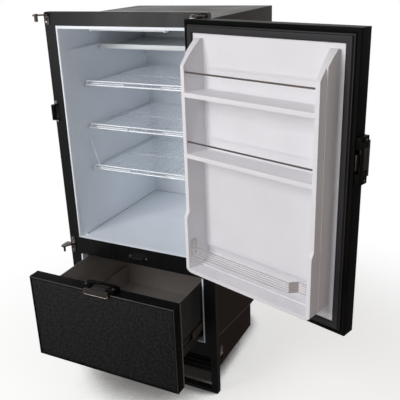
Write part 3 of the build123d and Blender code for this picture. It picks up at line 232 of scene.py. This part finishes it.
def bent_wire_tree():
    """Round wire along every run of edges, with its corners bent round."""
    tree = bpy.data.node_groups.new("bent_wire", "GeometryNodeTree")
    add = tree.nodes.new
    link = tree.links.new
    face = tree.interface
    face.new_socket("Geometry", in_out="INPUT", socket_type="NodeSocketGeometry")
    face.new_socket("Wire Radius", in_out="INPUT", socket_type="NodeSocketFloat")
    face.new_socket("Bend Radius", in_out="INPUT", socket_type="NodeSocketFloat")
    face.new_socket("Finish", in_out="INPUT", socket_type="NodeSocketMaterial")
    face.new_socket("Geometry", in_out="OUTPUT", socket_type="NodeSocketGeometry")
    given = add("NodeGroupInput")
    run = add("GeometryNodeMeshToCurve")
    link(given.outputs["Geometry"], run.inputs["Mesh"])
    bend = add("GeometryNodeFilletCurve")
    bend.mode = "POLY"
    bend.inputs["Count"].default_value = 4
    link(run.outputs["Curve"], bend.inputs["Curve"])
    link(given.outputs["Bend Radius"], bend.inputs["Radius"])
    ring = add("GeometryNodeCurvePrimitiveCircle")
    ring.inputs["Resolution"].default_value = 10
    link(given.outputs["Wire Radius"], ring.inputs["Radius"])
    wire = add("GeometryNodeCurveToMesh")
    wire.inputs["Fill Caps"].default_value = True
    link(bend.outputs["Curve"], wire.inputs["Curve"])
    link(ring.outputs["Curve"], wire.inputs["Profile Curve"])
    real = add("GeometryNodeRealizeInstances")
    link(wire.outputs["Mesh"], real.inputs["Geometry"])
    paint = add("GeometryNodeSetMaterial")
    link(real.outputs["Geometry"], paint.inputs["Geometry"])
    link(given.outputs["Finish"], paint.inputs["Material"])
    out = add("NodeGroupOutput")
    link(paint.outputs["Geometry"], out.inputs["Geometry"])
    return tree


def grown(name, points, tree, edges=(), **sizes):
    """Runs a tree on these points and keeps the result as a plain mesh."""
    seed = bpy.data.meshes.new(name)
    seed.from_pydata(points, edges, [])
    piece = shown(name, seed)
    modifier = piece.modifiers.new(name, "NODES")
    modifier.node_group = tree
    for item in tree.interface.items_tree:
        key = item.name.replace(" ", "_").lower()
        if item.in_out == "INPUT" and key in sizes:
            modifier[item.identifier] = sizes[key]
    graph = bpy.context.evaluated_depsgraph_get()
    mesh = bpy.data.meshes.new_from_object(piece.evaluated_get(graph))
    piece.modifiers.remove(modifier)
    piece.data = mesh
    return piece


bent_wire = bent_wire_tree()


def runs(*paths):
    """Points and edges of separate open runs, as a tree takes them."""
    points = [point for path in paths for point in path]
    edges = []
    first = 0
    for path in paths:
        edges += [(first + i, first + i + 1) for i in range(len(path) - 1)]
        first += len(path)
    return points, edges


shelf_heights = (1.087, 0.932, 0.777)
stop_y, stop_inner, stop_outer = 0.0908, 0.075, 0.206
stop_low, stop_high, stop_splay = 0.0005, 0.0078, 0.003
stop_runs = []
for shelf_z in shelf_heights:
    low, high = shelf_z + stop_low, shelf_z + stop_high
    for side in (-1, 1):
        inner, outer, splay = side * stop_inner, side * stop_outer, side * stop_splay
        stop_runs.append([
            (outer + splay, stop_y, low), (outer, stop_y, high),
            (inner, stop_y, high), (inner - splay, stop_y, low),
        ])
stop_points, stop_edges = runs(*stop_runs)
shelf_stops = grown(
    "shelf_stops", stop_points, bent_wire, stop_edges,
    wire_radius=0.0017, bend_radius=0.003, finish=dipped_white,
)
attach(shelf_stops, "cabinet")

# Floor joint: the liner's walls meet its floor in a crease, left, right and behind.
# A thin grey bead, darker than the liner, lies along it in the corner.
sealant_grey = coated(
    "sealant_grey", dark=(0.15, 0.165, 0.19), light=(0.21, 0.23, 0.26), rough=0.5,
    grain=0.002, bump=0.1, shine=0.2,
)
joint_side, joint_front, joint_back, joint_rise = 0.2388, 0.018, 0.5270, 0.5405
joint_corner, joint_floor = 0.230, 0.5378
joint_path = [
    (-joint_side, joint_front, joint_rise), (-joint_side, joint_back, joint_rise),
    (-joint_corner, joint_back, joint_floor), (joint_corner, joint_back, joint_floor),
    (joint_side, joint_back, joint_rise), (joint_side, joint_front, joint_rise),
]
joint_points, joint_edges = runs(joint_path)
floor_joint = grown(
    "floor_joint", joint_points, bent_wire, joint_edges,
    wire_radius=0.001, bend_radius=0.003, finish=sealant_grey,
)
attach(floor_joint, "cabinet")

# Seam between wrap and skirts: the wrap's lower edge is hemmed over for stiffness.
# It is the same painted sheet steel; the hem is painted lighter brown, a painted highlight along the
# fold.
rubbed_edge = coated(
    "rubbed_edge", dark=(0.075, 0.056, 0.044), light=(0.13, 0.10, 0.082), rough=0.36,
    grain=0.003, bump=0.08, shine=0.3,
)
hem_x, hem_front, hem_rear = 0.2867, (0.0145, 0.2218), (0.3385, 0.1862)
hem_points, hem_edges = runs(*[[(x, *hem_front), (x, *hem_rear)] for x in (-hem_x, hem_x)])
seam_hem = grown(
    "seam_hem", hem_points, bent_wire, hem_edges,
    wire_radius=0.0011, bend_radius=0.001, finish=rubbed_edge,
)
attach(seam_hem, "cabinet")

# Drip tray, light bar and thermostat: white injection mouldings with a fine satin grain.
# They are clipped into the liner. The bushes that the hinge pins turn in are of the same plastic.
moulded_white = coated(
    "moulded_white", dark=(0.82, 0.84, 0.86), light=(0.87, 0.89, 0.91), rough=0.38,
    grain=0.002, bump=0.08,
)
for node in ("drip_tray", "light_bar", "thermostat_housing", "thermostat_knob"):
    softened(node, width=0.0006, material=moulded_white)
dress(moulded_white, "hinge_bushes")

# Cooling plates and condenser: bare rolled aluminium with fine roll marks across it.
# The plates sit in the two liners, and the condenser stands in the machine space.
rolled_plate = coated(
    "rolled_plate", dark=(0.66, 0.70, 0.74), light=(0.76, 0.80, 0.84), rough=0.40,
    grain=0.0012, bump=0.12, stretch=(0.05, 1, 1), metal=0.25,
)
dress(rolled_plate, "evaporator", "freezer_evaporator", "condenser")

# Hinge brackets and strikes: pressed steel, the brackets and headed pins bronzed, the strikes black.
# All are screwed to the face frame, the unused left-hand brackets too, and their edges are worn.
pressed_black = coated(
    "pressed_black", dark=(0.006, 0.0055, 0.005), light=(0.013, 0.012, 0.011), rough=0.34,
    grain=0.0015, bump=0.15, shine=0.25,
)
bronzed = coated(
    "bronzed", dark=(0.050, 0.040, 0.036), light=(0.11, 0.088, 0.078), rough=0.30,
    grain=0.0012, bump=0.12, metal=0.7,
)
for node in ("hinge_bracket_top", "hinge_bracket_bottom", "spare_bracket_top", "spare_bracket_bottom"):
    softened(node, width=0.0005, material=bronzed)
for node in ("door_strike", "drawer_strike"):
    softened(node, width=0.0005, material=pressed_black)
dress(bronzed, "hinge_pins")

# Screws: cold-headed bright steel pan heads with a cross recess.
# They are driven through the brackets and strikes into the frame; the latches have bronzed ones.
bright_steel = coated(
    "bright_steel", dark=(0.34, 0.325, 0.31), light=(0.52, 0.50, 0.48), rough=0.30,
    grain=0.0006, bump=0.06, metal=1.0,
)


def screw_tree():
    """Pan heads on every point, turned to face one way: a tapered disc less a cross of two bars."""
    facets, top_share = 20, 0.72
    tree = bpy.data.node_groups.new("pan_heads", "GeometryNodeTree")
    add = tree.nodes.new
    link = tree.links.new
    face = tree.interface
    face.new_socket("Geometry", in_out="INPUT", socket_type="NodeSocketGeometry")
    for label, kind in (
        ("Head Radius", "NodeSocketFloat"),
        ("Head Height", "NodeSocketFloat"),
        ("Recess Width", "NodeSocketFloat"),
        ("Facing", "NodeSocketVector"),
        ("Finish", "NodeSocketMaterial"),
    ):
        face.new_socket(label, in_out="INPUT", socket_type=kind)
    face.new_socket("Geometry", in_out="OUTPUT", socket_type="NodeSocketGeometry")
    given = add("NodeGroupInput")
    head = add("GeometryNodeMeshCone")
    head.inputs["Vertices"].default_value = facets
    link(given.outputs["Head Radius"], head.inputs["Radius Bottom"])
    link(given.outputs["Head Height"], head.inputs["Depth"])
    narrow = add("ShaderNodeMath")
    narrow.operation = "MULTIPLY"
    narrow.inputs[1].default_value = top_share
    link(given.outputs["Head Radius"], narrow.inputs[0])
    link(narrow.outputs[0], head.inputs["Radius Top"])
    cut = add("GeometryNodeMeshBoolean")
    cut.operation = "DIFFERENCE"
    link(head.outputs["Mesh"], cut.inputs["Mesh 1"])
    for way in range(2):
        size = add("ShaderNodeCombineXYZ")
        link(given.outputs["Head Radius"], size.inputs[way])
        link(given.outputs["Recess Width"], size.inputs[1 - way])
        link(given.outputs["Head Height"], size.inputs[2])
        bar = add("GeometryNodeMeshCube")
        link(size.outputs[0], bar.inputs["Size"])
        lift = add("ShaderNodeCombineXYZ")
        link(given.outputs["Head Height"], lift.inputs[2])
        moved = add("GeometryNodeTransform")
        link(bar.outputs["Mesh"], moved.inputs["Geometry"])
        link(lift.outputs[0], moved.inputs["Translation"])
        link(moved.outputs["Geometry"], cut.inputs["Mesh 2"])
    aim = add("FunctionNodeAlignRotationToVector")
    aim.axis = "Z"
    link(given.outputs["Facing"], aim.inputs["Vector"])
    heads = add("GeometryNodeInstanceOnPoints")
    link(given.outputs["Geometry"], heads.inputs["Points"])
    link(cut.outputs["Mesh"], heads.inputs["Instance"])
    link(aim.outputs["Rotation"], heads.inputs["Rotation"])
    real = add("GeometryNodeRealizeInstances")
    link(heads.outputs["Instances"], real.inputs["Geometry"])
    paint = add("GeometryNodeSetMaterial")
    link(real.outputs["Geometry"], paint.inputs["Geometry"])
    link(given.outputs["Finish"], paint.inputs["Material"])
    out = add("NodeGroupOutput")
    link(paint.outputs["Geometry"], out.inputs["Geometry"])
    return tree


pan_heads = screw_tree()
screw = dict(head_radius=0.004, head_height=0.0024, recess_width=0.0011, finish=bright_steel)
leg_x, leg_y, leg_heights = 0.287, -0.0155, (1.327, 1.311, 0.481, 0.526)
leg_spots = [(x, leg_y, z) for x in (-leg_x, leg_x) for z in leg_heights]
strike_y, door_strike_x, door_strike_heights = -0.0145, -0.290, (0.978, 1.044)
drawer_strike_z, drawer_strike_half = 0.500, 0.033
strike_spots = [(door_strike_x, strike_y, z) for z in door_strike_heights]
strike_spots += [(x, strike_y, drawer_strike_z) for x in (-drawer_strike_half, drawer_strike_half)]
frame_heads = grown(
    "frame_screw_heads", leg_spots + strike_spots, pan_heads, facing=(0, -1, 0), **screw
)
stand_for(frame_heads, None, "frame_screws")

# Fronts: the door's and the drawer's black surrounds are moulded lengths mitred at the corners,
# ridged along their edges. Rubber gaskets are pushed into the inner side and mitred the same way.
# The panels that the surrounds hold are sheets embossed like leather cloth.
front_w, door_h, drawer_h = 0.566, 0.816, 0.313
swing = radians(163)
along = Vector((-cos(swing), -sin(swing), 0))
outwards = Vector((sin(swing), -cos(swing), 0))
hinge_axis = Vector((0.2698, -0.046, 0))
axis_inset, axis_depth, door_sill = 0.0132, 0.0235, 0.513
door_origin = hinge_axis - axis_inset * along - axis_depth * outwards + Vector((0, 0, door_sill))
door_turn = Matrix((along, outwards, (0, 0, 1))).transposed().to_4x4()
door_place = Matrix.Translation(door_origin) @ door_turn
drawer_back, drawer_sill = -0.222, 0.180
half_turn = Matrix(((-1, 0, 0), (0, -1, 0), (0, 0, 1))).to_4x4()
drawer_place = Matrix.Translation((front_w / 2, drawer_back, drawer_sill)) @ half_turn


def mitred(name, profile, height, place, nose=(), highlight_rows=()):
    """A four-sided ring of one moulding. Its profile is (inset from the edge, height outwards) in mm.

    The strips that start at the rows in nose take the piece's second finish, a painted highlight. Those
    that start at the rows in highlight_rows take its third one, a painted highlight too, on the two
    uprights only.
    """
    work = bmesh.new()
    rows = []
    for inset, out in profile:
        a, y = inset / 1000, out / 1000
        corners = ((a, a), (front_w - a, a), (front_w - a, height - a), (a, height - a))
        rows.append([work.verts.new((u, y, z)) for u, z in corners])
    for row, (near, far) in enumerate(zip(rows, rows[1:] + rows[:1])):
        for i in range(4):
            strip = work.faces.new((near[i], near[(i + 1) % 4], far[(i + 1) % 4], far[i]))
            upright = i in (1, 3)
            strip.material_index = 1 if row in nose else 2 if row in highlight_rows and upright else 0
    bmesh.ops.recalc_face_normals(work, faces=work.faces)
    mesh = bpy.data.meshes.new(name)
    work.to_mesh(mesh)
    work.free()
    mesh.transform(place)
    mesh.shade_smooth()
    mesh.set_sharp_from_angle(angle=radians(32))
    return shown(name, mesh)


surround_profile = (
    (30, 0), (12.0, 0), (11.2, 1.6), (9.8, 1.6), (9.0, 0), (2.0, 0), (0.6, 0.5), (0, 1.8), (0, 9.0),
    (0, 43.4), (0.25, 44.6), (0.9, 45.8), (1.9, 46.6), (3.2, 47.0), (5.2, 47.0), (6.0, 46.2),
    (6.0, 40.0), (30, 40),
)
surround_nose = (10, 11, 12)
# On the drawer, a strip on the outer side of each upright, next to the back, is painted lighter brown: a
# painted highlight.
upright_highlight_rows = {"door": (), "drawer": (6, 7)}
gasket_profile = (
    (14, 0), (14.2, -1.6), (17.0, -2.2), (17.6, -5.5), (18.4, -8.2), (20.0, -9.2), (23.0, -9.4),
    (27.0, -9.4), (31.0, -9.2), (33.6, -8.4), (35.2, -6.4), (36, -2.0), (36, 0),
)
moulded_black = coated(
    "moulded_black", dark=(0.003, 0.0029, 0.0028), light=(0.006, 0.0058, 0.0055), rough=0.42,
    grain=0.0015, bump=0.12, shine=0.02,
)
# The nose strip along the surround's front edge is painted lighter and glossier than the rest: a painted
# highlight.
nose_black = coated(
    "nose_black", dark=(0.014, 0.0136, 0.0132), light=(0.022, 0.0213, 0.0205), rough=0.28,
    grain=0.0015, bump=0.06, shine=0.35,
)
seal_rubber = coated(
    "seal_rubber", dark=(0.015, 0.014, 0.0155), light=(0.026, 0.024, 0.027), rough=0.52,
    grain=0.001, bump=0.10, shine=0.2,
)
for front, height, place in (("door", door_h, door_place), ("drawer", drawer_h, drawer_place)):
    surround = mitred(
        front + "_surround", surround_profile, height, place, surround_nose, upright_highlight_rows[front]
    )
    for finish in (moulded_black, nose_black, rubbed_edge):
        surround.data.materials.append(finish)
    stand_for(surround, None, front + "_frame")
    stand_for(mitred(front + "_seal", gasket_profile, height, place), seal_rubber, front + "_gasket")


def pebbled(name, dark, light, cell, depth):
    """Embossed sheet: rounded pebbles with creases between them, like leather cloth."""
    wander_scale, wander_reach, clump_scale = 0.4 / cell, 0.6 * cell, 0.45 / cell
    material = bpy.data.materials.new(name)
    material.use_nodes = True
    nodes = material.node_tree.nodes
    link = material.node_tree.links.new
    shader = nodes["Principled BSDF"]
    shader.inputs["Specular IOR Level"].default_value = 0.12
    place = nodes.new("ShaderNodeTexCoord")
    wander = nodes.new("ShaderNodeTexNoise")
    wander.inputs["Scale"].default_value = wander_scale
    link(place.outputs["Object"], wander.inputs["Vector"])
    shift = nodes.new("ShaderNodeVectorMath")
    shift.operation = "MULTIPLY_ADD"
    shift.inputs[1].default_value = (wander_reach,) * 3
    link(wander.outputs["Color"], shift.inputs[0])
    link(place.outputs["Object"], shift.inputs[2])
    pebble = nodes.new("ShaderNodeTexVoronoi")
    pebble.feature = "DISTANCE_TO_EDGE"
    pebble.inputs["Scale"].default_value = 1 / cell
    link(shift.outputs[0], pebble.inputs["Vector"])
    crease = nodes.new("ShaderNodeMapRange")
    crease.inputs["From Max"].default_value = 0.28
    link(pebble.outputs["Distance"], crease.inputs["Value"])
    clump = nodes.new("ShaderNodeTexNoise")
    clump.inputs["Scale"].default_value = clump_scale
    clump.inputs["Detail"].default_value = 2.0
    link(place.outputs["Object"], clump.inputs["Vector"])
    spread = nodes.new("ShaderNodeMapRange")
    spread.inputs["From Min"].default_value = 0.35
    spread.inputs["From Max"].default_value = 0.68
    link(clump.outputs["Fac"], spread.inputs["Value"])
    # The colour drifts at random in clumps and is darker in the creases: a painted shade.
    clump_and_crease_shade = nodes.new("ShaderNodeMath")
    clump_and_crease_shade.operation = "MULTIPLY"
    link(spread.outputs["Result"], clump_and_crease_shade.inputs[0])
    link(crease.outputs["Result"], clump_and_crease_shade.inputs[1])
    tone = nodes.new("ShaderNodeValToRGB")
    tone.color_ramp.elements[0].color = (*dark, 1)
    tone.color_ramp.elements[1].color = (*light, 1)
    link(clump_and_crease_shade.outputs[0], tone.inputs["Fac"])
    link(tone.outputs["Color"], shader.inputs["Base Color"])
    gloss = nodes.new("ShaderNodeMapRange")
    gloss.inputs["To Min"].default_value = 0.62
    gloss.inputs["To Max"].default_value = 0.42
    link(crease.outputs["Result"], gloss.inputs["Value"])
    link(gloss.outputs["Result"], shader.inputs["Roughness"])
    relief = nodes.new("ShaderNodeBump")
    relief.inputs["Strength"].default_value = 0.8
    relief.inputs["Distance"].default_value = depth
    link(crease.outputs["Result"], relief.inputs["Height"])
    link(relief.outputs["Normal"], shader.inputs["Normal"])
    return material


leathercloth = pebbled(
    "leathercloth", dark=(0.0015, 0.0015, 0.0015), light=(0.032, 0.031, 0.031), cell=0.0040, depth=0.0007
)
softened("door_panel", width=0.001, material=leathercloth)
softened("drawer_panel", width=0.001, material=leathercloth)

# Door liner: one white formed sheet with towers, racks and a bin, its edges rolled soft.
# Grey-brown rods drop into the towers, and a clear fence with beads along it closes the bin.
formed_white = coated(
    "formed_white", dark=(0.752, 0.742, 0.78), light=(0.796, 0.785, 0.823), rough=0.42,
    grain=0.004, bump=0.05, shine=0.35,
)
softened("door_liner", width=0.0022, material=formed_white, steps=3)
rod_coat = coated(
    "rod_coat", dark=(0.05, 0.036, 0.031), light=(0.085, 0.063, 0.055), rough=0.34,
    grain=0.001, bump=0.05,
)
dress(rod_coat, "bottle_rods")
clear_plastic = coated(
    "clear_plastic", dark=(0.74, 0.75, 0.75), light=(0.82, 0.83, 0.83), rough=0.16,
    grain=0.002, bump=0.03,
)
clear_edge = coated(
    "clear_edge", dark=(0.30, 0.285, 0.28), light=(0.38, 0.365, 0.36), rough=0.20,
    grain=0.002, bump=0.03,
)
# The fence's faces at its bend are painted a darker brown and less clear: a painted shade.
clear_bend = coated(
    "clear_bend", dark=(0.34, 0.29, 0.265), light=(0.44, 0.385, 0.355), rough=0.20,
    grain=0.002, bump=0.03,
)
for plastic, solidity in ((clear_plastic, 0.14), (clear_edge, 0.75), (clear_bend, 0.6)):
    plastic.node_tree.nodes["Principled BSDF"].inputs["Alpha"].default_value = solidity
softened("bin_fence", width=0.0005, material=clear_plastic)
fence_form = bpy.data.objects["bin_fence_form"]
fence_form.data.materials.append(clear_bend)
# Faces square to the bend take the painted shade.
bend_normal, squarely = Vector((0.759, -0.651, 0)), 0.97
bend_facing = door_place.to_3x3() @ bend_normal
for side in fence_form.data.polygons:
    if abs(side.normal.dot(bend_facing)) > squarely:
        side.material_index = 1
fence_plan = ((0.0699, -0.0765), (0.4347, -0.0765), (0.4527, -0.0555), (0.4942, -0.0555))
# Each bead's height and radius.
fence_beads_at = (
    (0.1510, 0.0011), (0.1440, 0.0008), (0.1365, 0.0008), (0.1290, 0.0008), (0.1210, 0.0010),
)
fence_bend, tab_radius, tab_bend = 0.004, 0.0006, 0.005
tab_low, tab_high = 0.1215, 0.1725
tab_front, tab_back = (0.0718, -0.0745), (0.0733, -0.0585)
tab_ring = [
    (*tab_front, tab_low), (*tab_front, tab_high), (*tab_back, tab_high), (*tab_back, tab_low),
    (*tab_front, tab_low),
]
bead_runs = [
    ([(u, v, height) for u, v in fence_plan], radius, fence_bend) for height, radius in fence_beads_at
]
bead_runs.append((tab_ring, tab_radius, tab_bend))
fence_lines = bmesh.new()
for path, radius, bend in bead_runs:
    line_points, line_edges = runs(path)
    line = grown(
        "fence_line", line_points, bent_wire, line_edges,
        wire_radius=radius, bend_radius=bend, finish=clear_edge,
    )
    fence_lines.from_mesh(line.data)
    bpy.data.objects.remove(line)
line_mesh = bpy.data.meshes.new("fence_beads")
fence_lines.to_mesh(line_mesh)
fence_lines.free()
line_mesh.transform(door_place)
line_mesh.materials.append(clear_edge)
line_mesh.shade_smooth()
fence_beads = shown("fence_beads", line_mesh)
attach(fence_beads, "door")

# Latches: black moulded bodies with brown-black pull paddles on sprung pivots.
# They are screwed to the edges of both fronts.
# Each paddle's rim carries a bead painted light bronze: a painted highlight.
paddle_brown = coated(
    "paddle_brown", dark=(0.012, 0.0085, 0.007), light=(0.026, 0.019, 0.016), rough=0.30,
    grain=0.0015, bump=0.06, shine=0.3,
)
worn_bronze = coated(
    "worn_bronze", dark=(0.22, 0.19, 0.17), light=(0.36, 0.31, 0.28), rough=0.28,
    grain=0.001, bump=0.05, metal=0.6,
)
for node in ("door_latch", "drawer_latch"):
    softened(node, width=0.0008, material=moulded_black)
for node in ("door_paddle", "drawer_paddle"):
    softened(node, width=0.0012, material=paddle_brown, steps=3)
bead_half, bead_out, bead_end, bead_low = 0.046, -0.0562, 0.002, -0.0088
bead_path = [
    (-bead_half, bead_out, bead_end), (-bead_half, bead_out, bead_low),
    (bead_half, bead_out, bead_low), (bead_half, bead_out, bead_end),
]
bead_points, bead_edges = runs(bead_path)
door_latch_z, drawer_latch_z = 0.498, 0.493
door_latch_place = door_place @ Matrix.Translation((front_w, 0, door_latch_z)) @ Matrix(
    ((0, 0, 1, 0), (0, -1, 0, 0), (1, 0, 0, 0), (0, 0, 0, 1))
)
drawer_latch_place = Matrix.Translation((0, drawer_back, drawer_latch_z))
for front, place in (("door", door_latch_place), ("drawer", drawer_latch_place)):
    bead = grown(
        front + "_paddle_bead", bead_points, bent_wire, bead_edges,
        wire_radius=0.0013, bend_radius=0.006, finish=worn_bronze,
    )
    bead.data.transform(place)
    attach(bead, front + "_handle")
ear_reach, ear_depth, ear_rise = 0.053, 0.030, 0.013 + screw["head_height"] / 2
door_latch_spots = [
    door_place @ Vector((front_w + ear_rise, ear_depth, door_latch_z + side * ear_reach))
    for side in (-1, 1)
]
drawer_latch_spots = [
    (side * ear_reach, drawer_back - ear_depth, drawer_latch_z + ear_rise) for side in (-1, 1)
]
latch_screw = {**screw, "finish": bronzed}
door_heads = grown("door_screw_heads", door_latch_spots, pan_heads, facing=along, **latch_screw)
stand_for(door_heads, None, "door_latch_screws")
drawer_heads = grown("drawer_screw_heads", drawer_latch_spots, pan_heads, facing=(0, 0, 1), **latch_screw)
stand_for(drawer_heads, None, "drawer_latch_screws")

# Drawer box and inner panel: folded sheet steel in a warm dark grey coat.
# The box's outer walls, rear and underside are painted near-black: a painted shade.
# The box rides on the slides behind the drawer front, which the panel closes.
painted_grey = coated(
    "painted_grey", dark=(0.29, 0.26, 0.242), light=(0.36, 0.323, 0.302), rough=0.34,
    grain=0.003, bump=0.08, shine=1.0,
)
backing_dark = coated(
    "backing_dark", dark=(0.016, 0.0152, 0.0128), light=(0.028, 0.0264, 0.023), rough=0.40,
    grain=0.003, bump=0.08, shine=0.2,
)
dress(painted_grey, "drawer_inner_panel")
softened("drawer_box", width=0.0005, material=painted_grey)
box_form = bpy.data.objects["drawer_box_form"]
box_form.data.materials.append(backing_dark)
# Faces on the box's outer walls, outer rear and underside take the painted shade.
wall_x, wall_lean, rear_y, squarely = 0.2, 0.05, 0.2, 0.5
for side in box_form.data.polygons:
    centre, facing = side.center, side.normal
    outer_wall = abs(centre.x) > wall_x and centre.x * facing.x > wall_lean
    outer_rear = centre.y > rear_y and facing.y > squarely
    if outer_wall or outer_rear or facing.z < -squarely:
        side.material_index = 1

# Drawer slides: three-part roll-formed steel runners with a dark phosphate coat, oiled for the balls.
# The outer members are fixed to the freezer liner's walls and the inner ones to the box.
phosphated = coated(
    "phosphated", dark=(0.045, 0.039, 0.035), light=(0.10, 0.087, 0.077), rough=0.34,
    grain=0.004, bump=0.08, metal=0.6,
)
dress(phosphated, "slide_outer", "slide_middle", "slide_inner")

# Grille: louvres in black plastic, moulded in one piece.
# It is pushed into the frame's lowest opening, in front of the machine space.
grille_black = coated(
    "grille_black", dark=(0.008, 0.0075, 0.007), light=(0.016, 0.015, 0.014), rough=0.40,
    grain=0.0015, bump=0.12, shine=0.1,
)
dress(grille_black, "louvre_grille")

# Machine space: a black enamelled compressor on rubber grommets, a grey moulded fan, shroud, module
# and cable gland, and drawn copper tubes, on or around the tray. Rubber feet carry the cabinet.
enamel_black = coated(
    "enamel_black", dark=(0.010, 0.010, 0.010), light=(0.020, 0.020, 0.020), rough=0.22,
    grain=0.003, bump=0.10, coat=0.3,
)
dress(enamel_black, "compressor")
dress(seal_rubber, "rubber_feet", "compressor_grommets")
moulded_grey = coated(
    "moulded_grey", dark=(0.055, 0.055, 0.058), light=(0.085, 0.085, 0.088), rough=0.45,
    grain=0.002, bump=0.10,
)
dress(moulded_grey, "control_module", "fan_shroud", "fan_rotor", "cable_gland")
copper = coated(
    "copper", dark=(0.55, 0.26, 0.14), light=(0.72, 0.38, 0.22), rough=0.30,
    grain=0.002, bump=0.05, metal=1.0,
)
dress(copper, "refrigerant_tubes")

# Studio: a plain pale floor that keeps the shadow, a white surround and three soft lamps.
# The floor is lifted to the surround's white only for the camera, so the object is lit no brighter.
# Under the cabinet, where little of the room is open to it, it isn't lifted and stays in shade.
floor_mesh = bpy.data.meshes.new("floor")
floor_half = 9
floor_corners = [(x * floor_half, y * floor_half, 0) for x, y in ((-1, -1), (1, -1), (1, 1), (-1, 1))]
floor_mesh.from_pydata(floor_corners, [], [(0, 1, 2, 3)])
floor = shown("floor", floor_mesh)
pale = bpy.data.materials.new("pale_floor")
pale.use_nodes = True
floor_nodes = pale.node_tree.nodes
floor_link = pale.node_tree.links.new
matt = floor_nodes["Principled BSDF"]
matt.inputs["Base Color"].default_value = (0.6, 0.6, 0.6, 1)
matt.inputs["Roughness"].default_value = 0.9
matt.inputs["Specular IOR Level"].default_value = 0.1
lift = floor_nodes.new("ShaderNodeEmission")
shade = floor_nodes.new("ShaderNodeAmbientOcclusion")
shade.inputs["Distance"].default_value = 0.3
openness = floor_nodes.new("ShaderNodeMapRange")
openness.interpolation_type = "SMOOTHSTEP"
openness.inputs["From Min"].default_value = 0.44
openness.inputs["From Max"].default_value = 0.54
openness.inputs["To Max"].default_value = 0.63
floor_link(shade.outputs["AO"], openness.inputs["Value"])
floor_link(openness.outputs["Result"], lift.inputs["Strength"])
lifted = floor_nodes.new("ShaderNodeAddShader")
floor_link(matt.outputs[0], lifted.inputs[0])
floor_link(lift.outputs[0], lifted.inputs[1])
seen = floor_nodes.new("ShaderNodeLightPath")
choice = floor_nodes.new("ShaderNodeMixShader")
white_far = floor_nodes.new("ShaderNodeEmission")
spot = floor_nodes.new("ShaderNodeTexCoord")
reach = floor_nodes.new("ShaderNodeVectorMath")
reach.operation = "DISTANCE"
shadow_middle = (0.25, 0.1, 0)
reach.inputs[1].default_value = shadow_middle
floor_link(spot.outputs["Object"], reach.inputs[0])
fade = floor_nodes.new("ShaderNodeMapRange")
fade.interpolation_type = "SMOOTHSTEP"
fade.inputs["From Min"].default_value = 0.55
fade.inputs["From Max"].default_value = 1.5
floor_link(reach.outputs["Value"], fade.inputs["Value"])
faded = floor_nodes.new("ShaderNodeMixShader")
floor_link(fade.outputs["Result"], faded.inputs["Fac"])
floor_link(lifted.outputs[0], faded.inputs[1])
floor_link(white_far.outputs[0], faded.inputs[2])
floor_link(seen.outputs["Is Camera Ray"], choice.inputs["Fac"])
floor_link(matt.outputs[0], choice.inputs[1])
floor_link(faded.outputs[0], choice.inputs[2])
floor_link(choice.outputs[0], floor_nodes["Material Output"].inputs["Surface"])
floor.data.materials.append(pale)

world = bpy.data.worlds.new("studio")
bpy.context.scene.world = world
world.use_nodes = True
sky = world.node_tree.nodes
sky_link = world.node_tree.links.new
soft_light = sky["Background"]
soft_light.inputs["Color"].default_value = (1.0, 0.94, 0.89, 1)
soft_light.inputs["Strength"].default_value = 0.22
white_wall = sky.new("ShaderNodeBackground")
white_wall.inputs["Color"].default_value = (1, 1, 1, 1)
rays = sky.new("ShaderNodeLightPath")
mirrored = sky.new("ShaderNodeMath")
mirrored.operation = "MAXIMUM"
sky_link(rays.outputs["Is Glossy Ray"], mirrored.inputs[0])
sky_link(rays.outputs["Is Transmission Ray"], mirrored.inputs[1])
any_ray = sky.new("ShaderNodeMath")
any_ray.operation = "MAXIMUM"
sky_link(rays.outputs["Is Camera Ray"], any_ray.inputs[0])
sky_link(mirrored.outputs[0], any_ray.inputs[1])
pick = sky.new("ShaderNodeMixShader")
sky_link(any_ray.outputs[0], pick.inputs["Fac"])
sky_link(soft_light.outputs[0], pick.inputs[1])
sky_link(white_wall.outputs[0], pick.inputs[2])
sky_link(pick.outputs[0], sky["World Output"].inputs["Surface"])


def softbox(name, spot, target, wide, high, watts, tint):
    """A rectangular lamp that stands at one point and faces another."""
    lamp = bpy.data.lights.new(name, "AREA")
    lamp.shape = "RECTANGLE"
    lamp.size = wide
    lamp.size_y = high
    lamp.energy = watts
    lamp.color = tint
    holder = bpy.data.objects.new(name, lamp)
    holder.location = spot
    holder.rotation_euler = (Vector(target) - Vector(spot)).to_track_quat("-Z", "Y").to_euler()
    bpy.context.scene.collection.objects.link(holder)


softbox(
    "key", spot=(-1.05, -3.2, 2.5), target=(0.15, 0, 0.75),
    wide=1.6, high=2.6, watts=77, tint=(1.0, 1.0, 1.0),
)
softbox(
    "fill", spot=(2.9, -0.3, 1.2), target=(0.7, -0.15, 0.95),
    wide=0.8, high=0.8, watts=3, tint=(1.0, 0.76, 0.60),
)
softbox(
    "strip", spot=(-1.9, -3.2, 1.0), target=(0.0, 0, 1.1),
    wide=0.8, high=0.5, watts=28, tint=(1.0, 0.98, 0.97),
)

# Camera: where the photograph was taken from, for a square picture.
# Its place and direction were solved from points of the frame, body, door and drawer.
lens = bpy.data.cameras.new("camera")
lens.sensor_width = 36.0
lens.lens = 55.302
camera = bpy.data.objects.new("camera", lens)
right = Vector((0.895409, 0.444005, -0.033187))
down = Vector((0.133145, -0.338144, -0.931628))
ahead = Vector((-0.424870, 0.829770, -0.361894))
turned = Matrix((right, -down, -ahead)).transposed().to_4x4()
stand = (1.10357, -1.66946, 1.48031)
camera.matrix_world = Matrix.Translation(stand) @ turned
bpy.context.scene.collection.objects.link(camera)
bpy.context.scene.camera = camera
bpy.context.scene.view_settings.view_transform = "Standard"
